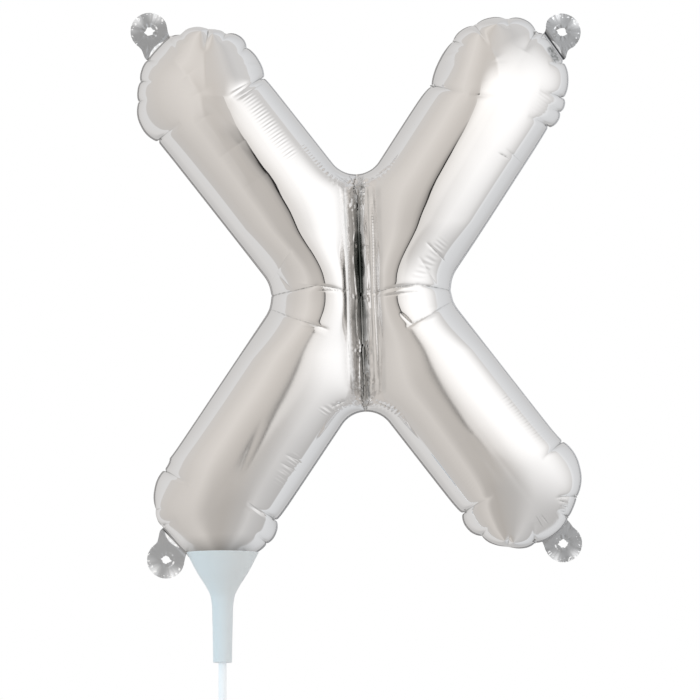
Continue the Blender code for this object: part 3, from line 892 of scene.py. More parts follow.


def fold_line_group():
    """The crisp bottom of a fold: how deep it is as a bump, and how dark its painted shade is, from the
    distance to its side.
    """
    inputs = (("Side", "Float"), ("Strength", "Float"), ("Width", "Float"))
    tree, given, made = new_group("fold_line", inputs, (("Height", "Float"), ("Shade", "Float")))
    share = sum_of(tree, "DIVIDE", given["Side"], given["Width"])
    for name, power, scale in (("Height", 1.0, -0.6), ("Shade", 2.0, -1.0)):
        size = sum_of(tree, "POWER", sum_of(tree, "ABSOLUTE", share), power)
        fall = sum_of(tree, "EXPONENT", sum_of(tree, "MULTIPLY", size, scale))
        tree.links.new(sum_of(tree, "MULTIPLY", fall, given["Strength"]), made[name])
    return tree


def film_wrinkle_group():
    """The film's faint unevenness between its folds."""
    tree, _, made = new_group("film_wrinkles", (), (("Height", "Float"),))
    place = tree.nodes.new("ShaderNodeTexCoord").outputs["Object"]
    broad = wire(tree, "ShaderNodeTexNoise", place)
    broad.inputs["Scale"].default_value = 55
    broad.inputs["Detail"].default_value = 2
    tree.links.new(broad.outputs[0], made["Height"])
    return tree


def value_of(tree, name):
    """The value kept on the mesh's points under this name."""
    return wire(tree, "ShaderNodeAttribute", attribute_name=name).outputs["Fac"]


def bumped(tree, height, distance, normal=None):
    """The normal bent by a height, over a normal where one is given."""
    bump = wire(tree, "ShaderNodeBump")
    bump.inputs["Distance"].default_value = distance
    tree.links.new(height, bump.inputs["Height"])
    if normal:
        tree.links.new(normal, bump.inputs["Normal"])
    return bump.outputs["Normal"]


def wrinkled(tree, shader, depth, normal=None):
    """Gives a film its faint unevenness, this deep, over a normal where one is given."""
    wrinkles = wire(tree, "ShaderNodeGroup", node_tree=bpy.data.node_groups["film_wrinkles"])
    bent = bumped(tree, wrinkles.outputs["Height"], depth, normal)
    tree.links.new(bent, shader.inputs["Normal"])


def mixed(tree, share, low, high):
    """A colour between two others, each a plain colour or a socket."""
    mix = wire(tree, "ShaderNodeMix", data_type="RGBA")
    tree.links.new(share, mix.inputs["Factor"])
    for name, colour in (("A", low), ("B", high)):
        if isinstance(colour, bpy.types.NodeSocket):
            tree.links.new(colour, mix.inputs[name])
        else:
            mix.inputs[name].default_value = (*colour, 1)
    return mix.outputs["Result"]


def mirror_film(settings):
    """The aluminised film: a tinted mirror with crisp fold lines, and painted shade along the folds, in the
    centre groove, in a pocket by a tab and as a painted shadow above the cup.
    """
    material, shader = principled("silver_foil_film", settings.colour, settings.roughness, 1.0)
    tree = material.node_tree
    line = wire(tree, "ShaderNodeGroup", node_tree=fold_line_group())
    tree.links.new(value_of(tree, "fold_side"), line.inputs["Side"])
    tree.links.new(value_of(tree, "fold_strength"), line.inputs["Strength"])
    line.inputs["Width"].default_value = LINE_WIDTH
    # Painted shade: the fold lines and the masks of the groove, pocket and rim mix the foil towards near
    # black
    shade = sum_of(tree, "MULTIPLY", line.outputs["Shade"], FOLD_SHADE_DARKNESS)
    dark = sum_of(tree, "MAXIMUM", shade, value_of(tree, "painted_shade"))
    tree.links.new(mixed(tree, dark, settings.colour, PAINTED_SHADE_FOIL), shader.inputs["Base Color"])
    blur = sum_of(tree, "MULTIPLY_ADD", value_of(tree, "haze"), settings.haze, settings.roughness)
    tree.links.new(blur, shader.inputs["Roughness"])
    creased = bumped(tree, line.outputs["Height"], -0.15 * MM)
    wrinkled(tree, shader, 0.03 * MM, creased)
    return material


def sealed_edge(settings):
    """The film where the two sheets are sealed together: duller, and faintly uneven."""
    material, shader = principled("silver_foil_seam", settings.seam_colour, 0.3, 1.0)
    wrinkled(material.node_tree, shader, 0.05 * MM)
    return material


class FoilSettings(bpy.types.PropertyGroup):
    """Sizes, ripples, tints and blur of the balloon's two sheets."""

    rows: IntProperty(name="Rows", description="Rungs along an arm's straight part", default=308)
    end_rows: IntProperty(name="End rows", description="Rungs over an arm's rounded end", default=100)
    columns: IntProperty(name="Columns", description="Steps across an arm", default=116)
    ripple: FloatProperty(name="Ripple", description="Strength of the ripples beside the seams", default=1.0)
    colour: FloatVectorProperty(
        name="Foil colour",
        description="Tint of the mirror film",
        default=(0.92, 0.912, 0.91),
        subtype="COLOR",
    )
    seam_colour: FloatVectorProperty(
        name="Seam colour",
        description="Tint of the sealed edge",
        default=(0.50, 0.51, 0.53),
        subtype="COLOR",
    )
    roughness: FloatProperty(name="Foil roughness", description="Blur of its reflections", default=0.03)
    haze: FloatProperty(name="Haze", description="Further blur of the dull places", default=0.12)


class BALLOON_OT_foil(bpy.types.Operator):
    """Builds the front and back sheets of mirror film"""

    bl_idname = "balloon.foil"
    bl_label = "Foil Sheets"

    def execute(self, context):
        settings = context.scene.balloon_foil
        film_wrinkle_group()
        film = mirror_film(settings)
        seam = sealed_edge(settings)
        left, right = ("top_left", "bottom_left"), ("top_right", "bottom_right")
        for name, side, corners, density in (
            ("foil_front_left", -1, left, 1.0),
            ("foil_front_right", -1, right, 1.0),
            ("foil_back", 1, left + right, 0.7),
        ):
            piece = foil_sheet(f"{name}_film", side, corners, settings, density, (film, seam))
            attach(piece, "balloon")
            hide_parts("foil_back" if side > 0 else "foil_front")
        return {"FINISHED"}


# The hanging tabs, flat double film with a punched hole
TAB_RADIUS = 12.2 * MM
TAB_HOLE_RADIUS = 3.0 * MM
TAB_INTO_SEAM = 1.5 * MM  # how far the film goes on between the two sheets
TAB_SPOKES, TAB_RINGS = 300, 42
NECK_TURN = math.radians(8)  # how far below its middle the disc goes over into the neck
TORN_CORNERS = (-0.63, 2.51)  # bearings from the disc's middle, in radians, of the hole's corners
TAB_TINT = (0.96, 1.0, 1.05)
TAB_GREYS = ((0.0, 0.05), (0.5, 0.58), (1.0, 1.0))  # painted shade to painted glint as a share, and the grey it gives; the middle is the film's own grey
# how brightly the tabs' painted glints glow, through emission
TAB_GLINT = 0.45

# Painted glints spread over the tab's film like bright pleats: bearing and half width in radians, and
# brightness
Fan = namedtuple("Fan", "way spread strength")
PAINTED_GLINT_FANS = (Fan(1.62, 0.34, 0.95), Fan(0.30, 0.42, 0.85), Fan(2.3, 0.2, 0.3))

# Each tab in the photo's pixels: the ends of its root on the waist side and on the notch side, the middle
# of its disc, how white the painted highlight strip along its root is, where the painted dark line of the
# fold beside it lies in millimetres, and how much painted shade darkens its film more than the others'
Tab = namedtuple("Tab", "waist_x waist_y notch_x notch_y disc_x disc_y strip fold shade")
TABS = {
    "top_left": Tab(147.5, 59.5, 169.5, 35.5, 149.0, 30.3, 1.0, 0.1, 0.04),
    "top_right": Tab(563.2, 59.0, 544.0, 32.0, 562.0, 31.0, 1.0, 0.8, 0.30),
    "bottom_left": Tab(163.0, 528.5, 187.5, 553.5, 166.5, 559.8, 1.0, 0.1, -0.05),
    "bottom_right": Tab(565.5, 519.5, 541.5, 541.5, 562.5, 543.5, 0.0, 0.1, 0.17),
}


def tab_place(tab):
    """A tab's root middle, the ways along its root and out from it, half its root, and its disc's middle."""
    waist, notch = on_letter(tab.waist_x, tab.waist_y), on_letter(tab.notch_x, tab.notch_y)
    middle, half = (waist + notch) / 2, np.linalg.norm(notch - waist) / 2
    along = (notch - waist) / (2 * half)
    out = np.array((along[1], -along[0]))
    out *= np.sign(out @ middle)
    disc = on_letter(tab.disc_x, tab.disc_y) - middle
    return middle, along, out, half, (disc @ along, disc @ out)


def tab_edge(angle, half, disc_middle):
    """The distance from the disc's middle to a tab's edge, by angle from the way along the root."""
    aside, reach = disc_middle
    t = np.linspace(0, 1, 40)[:, None]
    disc = np.linspace(-NECK_TURN, math.pi + NECK_TURN, 120)
    points = [np.stack([aside + TAB_RADIUS * np.cos(disc), reach + TAB_RADIUS * np.sin(disc)], 1)]
    sine, cosine = math.sin(NECK_TURN), math.cos(NECK_TURN)
    for way in (-1, 1):
        end = np.array((aside + way * TAB_RADIUS * cosine, reach - TAB_RADIUS * sine))
        leave = end + 4.5 * MM * np.array((-way * sine, -cosine))
        root = np.array((way * half, 0.0))
        arrive = root + 4.0 * MM * np.array((way * 0.25, 0.97))
        neck = (1 - t) ** 3 * end + 3 * (1 - t) ** 2 * t * leave + 3 * (1 - t) * t**2 * arrive + t**3 * root
        points += [neck, root - t * np.array((0, TAB_INTO_SEAM))]
    across = np.linspace(-half, half, 60)
    points.append(np.stack([across, np.full(60, -TAB_INTO_SEAM)], 1))
    edge = np.concatenate(points) - (aside, reach)
    angles = np.arctan2(edge[:, 1], edge[:, 0])
    order = np.argsort(angles)
    return np.interp(angle, angles[order], np.hypot(*edge.T)[order], period=2 * math.pi)


def tab_glint_and_shade(x, y, radius, angle, tab):
    """The painted light on the tab's crinkled film, from -1 in the painted shade of its folds over 0 to 1 at
    its painted glints.
    """
    rim = np.clip((radius - 4.5 * MM) / (6 * MM), 0, 1)
    glint_fans = sum(fan.strength * hump(angle - fan.way, fan.spread) for fan in PAINTED_GLINT_FANS)
    glint_fans = glint_fans * rim * (0.75 + 0.25 * waves(angle * 9 + 300, 31))
    glint_specks = patches(x / (0.8 * MM) + 90, y / (0.8 * MM) + 90, 33)
    glint_specks = np.clip((glint_specks - 0.52) * 6, 0, 1) * (radius > 9.5 * MM) * (angle > -0.3)
    # Painted glints along the torn edge of the hole
    torn = hump(radius - 5.2 * MM, 0.45 * MM) * hump(angle + 0.63, 0.75)
    torn = torn * np.clip(0.7 + waves(angle * 7 + 300, 34), 0, 1)
    # A painted highlight strip along the root, a painted shade line on the fold beside it, and painted shade
    # over the whole tab
    strip = np.clip(1 - ((x + 1.5 * MM) / (8.5 * MM)) ** 2, 0, 1)
    above_fold = np.clip((y - tab.fold * MM) / (0.5 * MM) - 0.4, 0, 1)
    strip = tab.strip * np.clip((3.0 * MM * strip - y) / (0.5 * MM), 0, 1) * above_fold
    strip = strip * (0.8 + 0.3 * waves(x / (0.9 * MM) + 90, 35))
    fold = hump(y - tab.fold * MM, 0.3 * MM * (1 + tab.fold))
    return np.clip(glint_fans + glint_specks + 1.2 * torn + strip, 0, 1) - 1.1 * fold - tab.shade


def tab_film(corner, material):
    """One tab: film round a torn-edged hole, puckered round the hole and along its rim."""
    seed = ARMS[corner].seed
    tab = TABS[corner]
    middle, along, out, half, disc_middle = tab_place(tab)
    angle = np.linspace(-math.pi, math.pi, TAB_SPOKES, endpoint=False)
    edge = tab_edge(angle, half, disc_middle) * (1 + 0.006 * waves(angle * 14 + 60, seed + 20))
    corners = sum(hump(angle - way, 0.2) for way in TORN_CORNERS)
    hole = TAB_HOLE_RADIUS * (0.88 + 0.32 * corners + 0.14 * waves(angle * 2.5 + 60, seed + 21))
    share = np.linspace(0, 1, TAB_RINGS + 1)[:, None]
    radius = hole + share * (edge - hole)
    x, y = disc_middle[0] + radius * np.cos(angle), disc_middle[1] + radius * np.sin(angle)
    far = np.clip((radius - 7 * MM) / (5 * MM), 0, 1)
    bend = 0.15 * MM * np.cos(2 * (angle - 0.5)) * (radius / TAB_RADIUS) ** 2
    pleats = 0.10 * MM * far**2 * waves(angle * 9 + 200, seed + 22)
    fine = 0.04 * MM * far**2 * waves(angle * 26 + 200 + 2 * share, seed + 23)
    pucker = 0.15 * MM * hump(radius - 4.2 * MM, 1.3 * MM) * waves(angle * 3.2 + 200, seed + 24)
    root_fold = 0.25 * MM * hump(y - 1.2 * MM, 0.9 * MM)
    depth = (bend + pleats + fine + pucker) * np.clip(y / (4 * MM), 0, 1) + root_fold
    depth *= np.clip((y + 0.5 * MM) / MM, 0, 1)
    flat = middle + x[..., None] * along + y[..., None] * out
    points = to_world(flat[..., 0], depth, flat[..., 1]).reshape(-1, 3)
    index = np.arange(len(points)).reshape(TAB_RINGS + 1, TAB_SPOKES)
    beside = np.roll(index, -1, 1)
    faces = np.stack([index[:-1], beside[:-1], beside[1:], index[1:]], -1).reshape(-1, 4)
    piece = new_mesh_object(f"tab_{corner}_film", points, faces.tolist(), [material])
    keep_value(piece, "tone", tab_glint_and_shade(x, y, radius, angle, tab).reshape(-1))
    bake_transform(piece)
    piece.visible_glossy = False
    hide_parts(f"tab_{corner}")


def crinkled_film():
    """The tabs' double film: a dull mirror with painted glints on its crinkles, which glow, and painted
    shade in its folds.
    """
    material, shader = principled("flat_foil_film", (0.5, 0.5, 0.5), 0.32, 1.0)
    tree = material.node_tree
    tone = value_of(tree, "tone")
    stops = [(place, [grey * part for part in TAB_TINT]) for place, grey in TAB_GREYS]
    colour = ramp_of(tree, sum_of(tree, "MULTIPLY_ADD", tone, 0.5, 0.5), stops)
    tree.links.new(colour, shader.inputs["Base Color"])
    # The painted glints also glow, through emission
    glint = ramp_of(tree, tone, [(0.0, [0.0] * 3), (1.0, [TAB_GLINT] * 3)])
    tree.links.new(glint, shader.inputs["Emission Color"])
    shader.inputs["Emission Strength"].default_value = 1.0
    wrinkled(tree, shader, 0.1 * MM)
    return material


class BALLOON_OT_tabs(bpy.types.Operator):
    """Builds the four flat tabs with their punched holes"""

    bl_idname = "balloon.tabs"
    bl_label = "Tabs"

    def execute(self, context):
        material = crinkled_film()
        for corner in TABS:
            tab_film(corner, material)
        return {"FINISHED"}


# The cup and the stick, turned about the stick's axis
CUP_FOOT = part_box("cup")[0][2]
CUP_WALL = 1.0 * MM
CUP_BORE = 2.85 * MM
CUP_THROAT = 39.5 * MM
CupRing = namedtuple("CupRing", "height radius")
CUP_OUTSIDE = [
    CupRing(0.0 * MM, 6.1 * MM),
    CupRing(26.3 * MM, 6.6 * MM),
    CupRing(38.7 * MM, 7.1 * MM),
    CupRing(44.0 * MM, 8.1 * MM),
    CupRing(49.5 * MM, 10.9 * MM),
    CupRing(57.0 * MM, 15.7 * MM),
    CupRing(71.5 * MM, 23.4 * MM),
]
STICK_RADIUS = 2.6 * MM
STICK_BORE = 1.9 * MM
EDGE_ROUND = 0.3 * MM
CUP_SIDES, STICK_SIDES = 144, 64
CUP_PAINTED_GLOW = (0.12, 0.13, 0.13)  # painted glow of the cup's lining, through emission
# painted glow of the whole stick, through emission
STICK_PAINTED_GLOW = (0.13, 0.15, 0.17)
CUP_GRAIN, STICK_GRAIN = (900, 1.0), (1500, 0.04)  # fineness, and how it is drawn out along the axis
PLASTIC_BLUR = (0.30, 0.46)  # least and most roughness


def turned(name, profile, foot, sides, material):
    """A smooth piece turned about the stick's axis from a closed profile of (radius, height)."""
    angle = np.linspace(0, 2 * math.pi, sides, endpoint=False)[:, None]
    radius, height = np.array(profile).T
    rings = np.stack([radius * np.cos(angle), radius * np.sin(angle), foot + height + 0 * angle], -1)
    index = np.arange(sides * len(profile)).reshape(sides, -1)
    around, along = np.roll(index, -1, 0), np.roll(index, -1, 1)
    faces = np.stack([index, around, np.roll(around, -1, 1), along], -1).reshape(-1, 4)
    return new_mesh_object(name, rings.reshape(-1, 3), faces.tolist(), [material])


def rounded_edge(radius, height, way, size):
    """A quarter of a circle into the wall at a ring's edge; way is (outwards, upwards)."""
    angle = np.linspace(0, math.pi / 2, 5)
    out, up = way
    arc = [(radius - out * size * (1 - math.cos(a)), height - up * size * (1 - math.sin(a))) for a in angle]
    return arc if out * up > 0 else arc[::-1]


def cup_profile():
    """The cup's closed outline: up the outside, over the rim, down the inside and the bore."""
    known_height, known_radius = np.array(CUP_OUTSIDE).T
    high = np.linspace(known_height[0], known_height[-1], 70)[1:-1]
    wide = smooth_through(high, known_height, known_radius)
    foot, top = CUP_OUTSIDE[0], CUP_OUTSIDE[-1]
    outside = list(zip(wide, high))
    inside = [(radius - CUP_WALL, height) for radius, height in outside[::-1] if height > CUP_THROAT]
    return (
        rounded_edge(foot.radius, foot.height, (1, -1), EDGE_ROUND)
        + outside
        + rounded_edge(top.radius, top.height, (1, 1), EDGE_ROUND)
        + rounded_edge(top.radius - CUP_WALL, top.height, (-1, 1), EDGE_ROUND)
        + inside
        + [(CUP_BORE, CUP_THROAT), (CUP_BORE, 0.0)]
    )


def plastic_grain_group():
    """Moulded plastic's faint unevenness: a value for its height and one for its roughness."""
    inputs = (("Scale", "Float"), ("Stretch", "Float"))
    tree, given, made = new_group("plastic_grain", inputs, (("Height", "Float"), ("Blur", "Float")))
    place = tree.nodes.new("ShaderNodeTexCoord").outputs["Object"]
    across, away, up = wire(tree, "ShaderNodeSeparateXYZ", place).outputs
    drawn = wire(tree, "ShaderNodeCombineXYZ", across, away, sum_of(tree, "MULTIPLY", up, given["Stretch"]))
    noise = wire(tree, "ShaderNodeTexNoise", drawn.outputs[0])
    tree.links.new(given["Scale"], noise.inputs["Scale"])
    tree.links.new(noise.outputs[0], made["Height"])
    blur = wire(tree, "ShaderNodeMapRange", noise.outputs[0], 0.3, 0.7, *PLASTIC_BLUR)
    tree.links.new(blur.outputs[0], made["Blur"])
    return tree


def plastic(name, grain, colour, grain_size, glow, lined=False):
    """Satin moulded plastic that lets some light in under its surface, with a painted glow, through
    emission, all over or in its lining alone.
    """
    material, shader = principled(name, colour, 0.38)
    tree = material.node_tree
    node = wire(tree, "ShaderNodeGroup", node_tree=grain)
    for socket, value in zip(("Scale", "Stretch"), grain_size):
        node.inputs[socket].default_value = value
    tree.links.new(node.outputs["Blur"], shader.inputs["Roughness"])
    tree.links.new(bumped(tree, node.outputs["Height"], 0.03 * MM), shader.inputs["Normal"])
    shader.inputs["Subsurface Weight"].default_value = 0.35
    shader.inputs["Subsurface Radius"].default_value = (2 * MM, 2 * MM, 2 * MM)
    shader.inputs["Subsurface Scale"].default_value = 1.0
    # A painted glow: the plastic gives off light of its own
    shader.inputs["Emission Color"].default_value = (*glow, 1)
    shader.inputs["Emission Strength"].default_value = 1.0
    if lined:
        through = mixed(tree, value_of(tree, "lining"), (0, 0, 0), glow)
        tree.links.new(through, shader.inputs["Emission Color"])
    return material


class PlasticSettings(bpy.types.PropertyGroup):
    """Colours of the cup and the stick."""

    cup_colour: FloatVectorProperty(
        name="Cup colour",
        description="Colour of the cup's plastic",
        default=(0.81, 0.88, 0.93),
        subtype="COLOR",
    )
    stick_colour: FloatVectorProperty(
        name="Stick colour",
        description="Colour of the stick's plastic",
        default=(0.94, 0.97, 0.99),
        subtype="COLOR",
    )


class BALLOON_OT_stand(bpy.types.Operator):
    """Builds the cup and the stick, and gives the filling tail its film"""

    bl_idname = "balloon.stand"
    bl_label = "Cup and Stick"

    def execute(self, context):
        settings = context.scene.balloon_plastic
        grain = plastic_grain_group()
        colour = settings.cup_colour
        moulded = plastic("cup_plastic_satin", grain, colour, CUP_GRAIN, CUP_PAINTED_GLOW, lined=True)
        drawn = plastic("stick_plastic_satin", grain, settings.stick_colour, STICK_GRAIN, STICK_PAINTED_GLOW)
        profile = cup_profile()
        cup = turned("cup_moulding", profile, CUP_FOOT, CUP_SIDES, moulded)
        over_rim = np.cumsum([height >= CUP_OUTSIDE[-1].height for _, height in profile]) > 1
        lining = over_rim * np.array([height > CUP_THROAT for _, height in profile])
        keep_value(cup, "lining", np.tile(lining.astype(float), CUP_SIDES))
        cup.visible_glossy = False
        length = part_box("stick")[1][2]
        tube = (
            rounded_edge(STICK_RADIUS, 0.0, (1, -1), EDGE_ROUND)
            + rounded_edge(STICK_RADIUS, length, (1, 1), EDGE_ROUND)
            + [(STICK_BORE, length), (STICK_BORE, 0.0)]
        )
        stick = turned("stick_tube", tube, 0.0, STICK_SIDES, drawn)
        for piece, node in ((cup, "cup"), (stick, "stick")):
            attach(piece, node)
            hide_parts(node)
        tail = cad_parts["filling_tail"]
        tail.data.materials.clear()
        tail.data.materials.append(bpy.data.materials["silver_foil_film"])
        return {"FINISHED"}


CAMERA_DISTANCE = 6.0
CAMERA_ELEVATION = math.radians(-4.4)
CAMERA_TARGET = Vector((82.5 * MM, 0, 563 * MM))
PICTURE_WIDTH = 454.3 * MM
FLOOR_COLOUR = (0.75, 0.72, 0.69)
FLOOR_REACH = 6.0

# The two lights: where each stands, what it is aimed at, the side of its square and its brightness
Lamp = namedtuple("Lamp", "name place aim side radiance colour")
LAMPS = (
    Lamp("overhead_softbox", Vector((0.1, -0.1, 2.0)), Vector((0.1, -0.1, 1.0)), 1.6, 1.0, (1, 1, 1)),
    Lamp("cool_side_light", Vector((-1.6, -1.1, 0.85)), Vector((0, 0, 0.4)), 0.6, 8.0, (0.45, 0.8, 1.0)),
)


class BALLOON_OT_studio(bpy.types.Operator):
    """Sets up the camera, the floor, the white backdrop and the soft lights"""

    bl_idname = "balloon.studio"
    bl_label = "Studio"

    def execute(self, context):
        scene = context.scene
        scene.view_settings.view_transform = "Standard"
        camera = bpy.data.objects.new("camera", bpy.data.cameras.new("camera"))
        scene.collection.objects.link(camera)
        back = Vector((0, -math.cos(CAMERA_ELEVATION), math.sin(CAMERA_ELEVATION)))
        camera.location = CAMERA_TARGET + CAMERA_DISTANCE * back
        camera.rotation_mode = "QUATERNION"
        camera.rotation_quaternion = (-back).to_track_quat("-Z", "Y")
        camera.data.lens = camera.data.sensor_width * CAMERA_DISTANCE / PICTURE_WIDTH
        scene.camera = camera

        paint, _ = principled("floor_paint", FLOOR_COLOUR, 0.8)
        corners = [(x * FLOOR_REACH, y * FLOOR_REACH, 0) for x, y in ((-1, -1), (1, -1), (1, 1), (-1, 1))]
        floor = new_mesh_object("floor", corners, [(0, 1, 2, 3)], [paint])
        floor.visible_glossy = False
        for lamp in LAMPS:
            add_area(scene, lamp)
        light_cards()
        sky(scene)
        return {"FINISHED"}


def add_area(scene, lamp):
    """A soft square light that neither the camera nor the film's mirror image shows."""
    data = bpy.data.lights.new(lamp.name, "AREA")
    data.size = lamp.side
    data.energy = lamp.radiance * math.pi * lamp.side**2
    data.color = lamp.colour
    light = bpy.data.objects.new(lamp.name, data)
    light.location = lamp.place
    light.rotation_mode = "QUATERNION"
    light.rotation_quaternion = (lamp.aim - lamp.place).to_track_quat("-Z", "Y")
    light.visible_camera = False
    light.visible_glossy = False
    scene.collection.objects.link(light)


# The room as the film mirrors it: bearing from the viewer's side in degrees, to the right, with its
# brightness low down and high up, and how warm it is
RoomTone = namedtuple("RoomTone", "bearing low high warmth")
ROOM = [
    RoomTone(-180, 0.55, 0.66, 0.2),
    RoomTone(-150, 0.57, 0.64, 0.3),
    RoomTone(-125, 0.70, 0.68, 0.3),
    RoomTone(-97, 0.73, 0.74, 0.1),
    RoomTone(-94, 0.57, 0.63, 0.7),
    RoomTone(-70, 0.57, 0.64, 1.0),
    RoomTone(-40, 0.64, 0.73, 1.0),
    RoomTone(-25, 0.48, 0.68, 1.1),
    RoomTone(-8, 0.45, 0.60, 1.2),
    RoomTone(20, 0.50, 0.65, 0.6),
    RoomTone(40, 0.63, 0.60, 0.3),
    RoomTone(60, 0.57, 0.65, 0.2),
    RoomTone(92, 0.50, 0.66, 0.3),
    RoomTone(95, 0.76, 0.78, -0.3),
    RoomTone(125, 0.68, 0.70, -0.3),
    RoomTone(150, 0.54, 0.64, -0.1),
    RoomTone(180, 0.55, 0.66, 0.2),
]
WARM = (0.05, 0.0, -0.055)

# The soft white card to the right of the camera, which the film's right-hand sides mirror
CARD_CENTRE = Vector((0.42, -0.40, 0.82))
CARD_BEARING = 0.976
CARD_ROLL = 0.67
CARD_HALF_WIDTH = 0.35
CARD_HALF_HEIGHT = 0.53
CARD_SOFTNESS = 1.4
CARD_SQUARENESS = 1.5
CARD_BRIGHTNESS = 0.52

# The softbox's dark left edge, seen as a thin line along the arms' crests: places to the right of the
# edge, how much of the room is hidden there, and how much light is added
EdgeTone = namedtuple("EdgeTone", "place hidden glow")
EDGE_CENTRE = Vector((0.09, -1.3, 1.05))
EDGE_HALF_HEIGHT = 0.75
EDGE_FOOT = (0.32, 0.42)  # heights between which the strip starts
EDGE_TOP = (0.88, 1.05)  # heights between which its dark part ends
GLOW_TOP = (1.2, 1.6)
EDGE_TONES = [
    EdgeTone(-0.26, 0.0, 0.0),
    EdgeTone(-0.15, 0.10, 0.0),
    EdgeTone(-0.075, 0.36, 0.0),
    EdgeTone(-0.045, 0.55, 0.0),
    EdgeTone(-0.030, 0.97, 0.0),
    EdgeTone(-0.002, 0.97, 0.0),
    EdgeTone(0.0, 0.0, 0.20),
    EdgeTone(0.12, 0.0, 0.20),
    EdgeTone(0.45, 0.0, 0.0),
]


def wire(tree, kind, *sources, **settings):
    """A new node, its first inputs set or joined to these sockets, and its properties set."""
    node = tree.nodes.new(kind)
    for name, value in settings.items():
        setattr(node, name, value)
    for index, source in enumerate(sources):
        if source is None:
            continue
        if isinstance(source, bpy.types.NodeSocket):
            tree.links.new(source, node.inputs[index])
        else:
            node.inputs[index].default_value = source
    return node


def sum_of(tree, operation, *sources):
    """The result of one step of arithmetic."""
    return wire(tree, "ShaderNodeMath", *sources, operation=operation).outputs[0]


def ramp_of(tree, share, stops):
    """A colour ramp through these rows of place and colour."""
    ramp = wire(tree, "ShaderNodeValToRGB", share)
    kept = ramp.color_ramp.elements
    kept.remove(kept[-1])
    for index, (place, colour) in enumerate(stops):
        stop = kept[0] if index == 0 else kept.new(place)
        stop.position = place
        stop.color = (*colour, 1)
    return ramp.outputs["Color"]


def sky(scene):
    """The room as the film mirrors it, and the plain white that the camera sees behind the balloon."""
    world = bpy.data.worlds.new("studio_room")
    scene.world = world
    world.use_nodes = True
    tree = world.node_tree
    tree.nodes.clear()
    direction = tree.nodes.new("ShaderNodeTexCoord").outputs["Generated"]
    across, away, high = wire(tree, "ShaderNodeSeparateXYZ", direction).outputs
    bearing = sum_of(tree, "ARCTAN2", across, sum_of(tree, "MULTIPLY", away, -1.0))
    share = sum_of(tree, "MULTIPLY_ADD", bearing, 1 / (2 * math.pi), 0.5)
    height = wire(tree, "ShaderNodeMapRange", high, -0.5, 0.5).outputs[0]
    tones = []
    for column in ("low", "high"):
        stops = [
            ((row.bearing + 180) / 360, [getattr(row, column) * (1 + row.warmth * tint) for tint in WARM])
            for row in ROOM
        ]
        tones.append(ramp_of(tree, share, stops))
    seen = tree.nodes.new("ShaderNodeLightPath").outputs["Is Camera Ray"]
    shown = mixed(tree, seen, mixed(tree, height, *tones), (1, 1, 1))
    background = wire(tree, "ShaderNodeBackground", shown)
    wire(tree, "ShaderNodeOutputWorld", background.outputs[0])


def studio_card(name, box, place, shaded, hidden_from):
    """A card that some kinds of ray don't see. Its box is its left, right, low and high edge; shaded gives
    the two shaders that are added up on it, from its nodes and the ways across and up."""
    left, right, low, high = box
    material = bpy.data.materials.new(f"{name}_tones")
    material.use_nodes = True
    tree = material.node_tree
    tree.nodes.clear()
    point = tree.nodes.new("ShaderNodeTexCoord").outputs["Object"]
    across, _, up = wire(tree, "ShaderNodeSeparateXYZ", point).outputs
    both = wire(tree, "ShaderNodeAddShader", *shaded(tree, across, up))
    wire(tree, "ShaderNodeOutputMaterial", both.outputs[0])
    corners = [(left, 0, low), (right, 0, low), (right, 0, high), (left, 0, high)]
    card = new_mesh_object(name, corners, [(0, 1, 2, 3)], [material])
    card.matrix_world = place
    for kind in hidden_from:
        setattr(card, f"visible_{kind}", False)


def soft_card_light(tree, across, up):
    """A clear card with a glow that fades softly to its edges."""
    parts = []
    for source, half in ((across, CARD_HALF_WIDTH), (up, CARD_HALF_HEIGHT)):
        size = sum_of(tree, "ABSOLUTE", sum_of(tree, "DIVIDE", source, half))
        parts.append(sum_of(tree, "POWER", size, CARD_SQUARENESS))
    distance = sum_of(tree, "POWER", sum_of(tree, "ADD", *parts), 1 / CARD_SQUARENESS)
    ends = (1 - CARD_SOFTNESS / 2, 1 + CARD_SOFTNESS / 2, CARD_BRIGHTNESS, 0)
    edge = wire(tree, "ShaderNodeMapRange", distance, *ends, interpolation_type="SMOOTHSTEP")
    glow = wire(tree, "ShaderNodeEmission", None, edge.outputs["Result"])
    return tree.nodes.new("ShaderNodeBsdfTransparent").outputs[0], glow.outputs[0]


def softbox_edge_light(tree, across, up):
    """A strip that hides the room at the softbox's edge and glows to the right of it."""
    left, span = EDGE_TONES[0].place, EDGE_TONES[-1].place - EDGE_TONES[0].place
    share = sum_of(tree, "MULTIPLY_ADD", across, 1 / span, -left / span)
    foot, top, glow_top = (
        wire(tree, "ShaderNodeMapRange", up, *(height - EDGE_CENTRE.z for height in ends)).outputs[0]
        for ends in (EDGE_FOOT, EDGE_TOP, GLOW_TOP)
    )
    shown = []
    for column, over in (("hidden", top), ("glow", glow_top)):
        stops = [((row.place - left) / span, [getattr(row, column)] * 3) for row in EDGE_TONES]
        kept = sum_of(tree, "MULTIPLY", foot, sum_of(tree, "SUBTRACT", 1.0, over))
        shown.append(sum_of(tree, "MULTIPLY", ramp_of(tree, share, stops), kept))
    clear = tree.nodes.new("ShaderNodeBsdfTransparent").outputs[0]
    black = wire(tree, "ShaderNodeBsdfDiffuse", (0, 0, 0, 1)).outputs[0]
    cover = wire(tree, "ShaderNodeMixShader", shown[0], clear, black).outputs[0]
    return cover, wire(tree, "ShaderNodeEmission", None, shown[1]).outputs[0]


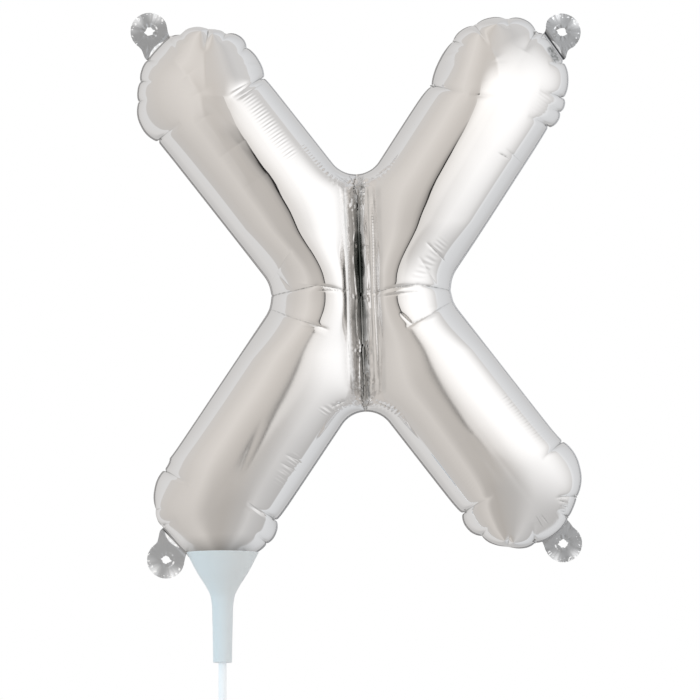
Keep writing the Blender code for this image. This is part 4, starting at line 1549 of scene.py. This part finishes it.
def light_cards():
    """The soft white card and the softbox's edge, that the film mirrors."""
    reach = 1 + CARD_SOFTNESS / 2
    wide, high = reach * CARD_HALF_WIDTH, reach * CARD_HALF_HEIGHT
    turn = Matrix.Rotation(CARD_BEARING, 4, "Z") @ Matrix.Rotation(-CARD_ROLL, 4, "Y")
    place = Matrix.Translation(CARD_CENTRE) @ turn
    studio_card("soft_card", (-wide, wide, -high, high), place, soft_card_light, ("camera", "shadow"))
    edges = (EDGE_TONES[0].place, EDGE_TONES[-1].place, -EDGE_HALF_HEIGHT, EDGE_HALF_HEIGHT)
    place = Matrix.Translation(EDGE_CENTRE)
    hidden_from = ("camera", "diffuse", "shadow")
    studio_card("softbox_edge", edges, place, softbox_edge_light, hidden_from)


class BALLOON_PT_panel(bpy.types.Panel):
    """Lists the balloon's pieces in the sidebar"""

    bl_label = "Letter Balloon"
    bl_space_type = "VIEW_3D"
    bl_region_type = "UI"
    bl_category = "Balloon"

    def draw(self, context):
        layout = self.layout
        layout.prop(context.scene.balloon_foil, "ripple")
        layout.operator("balloon.foil")
        layout.operator("balloon.tabs")
        layout.prop(context.scene.balloon_plastic, "cup_colour")
        layout.prop(context.scene.balloon_plastic, "stick_colour")
        layout.operator("balloon.stand")
        layout.operator("balloon.studio")


CLASSES = (
    FoilSettings,
    PlasticSettings,
    BALLOON_OT_foil,
    BALLOON_OT_tabs,
    BALLOON_OT_stand,
    BALLOON_OT_studio,
    BALLOON_PT_panel,
)


def register():
    for each in CLASSES:
        bpy.utils.register_class(each)
    bpy.types.Scene.balloon_foil = PointerProperty(type=FoilSettings)
    bpy.types.Scene.balloon_plastic = PointerProperty(type=PlasticSettings)


def unregister():
    del bpy.types.Scene.balloon_foil
    del bpy.types.Scene.balloon_plastic
    for each in reversed(CLASSES):
        bpy.utils.unregister_class(each)


def main():
    register()
    bpy.ops.balloon.foil()
    bpy.ops.balloon.tabs()
    bpy.ops.balloon.stand()
    bpy.ops.balloon.studio()


if __name__ == "__main__":
    main()
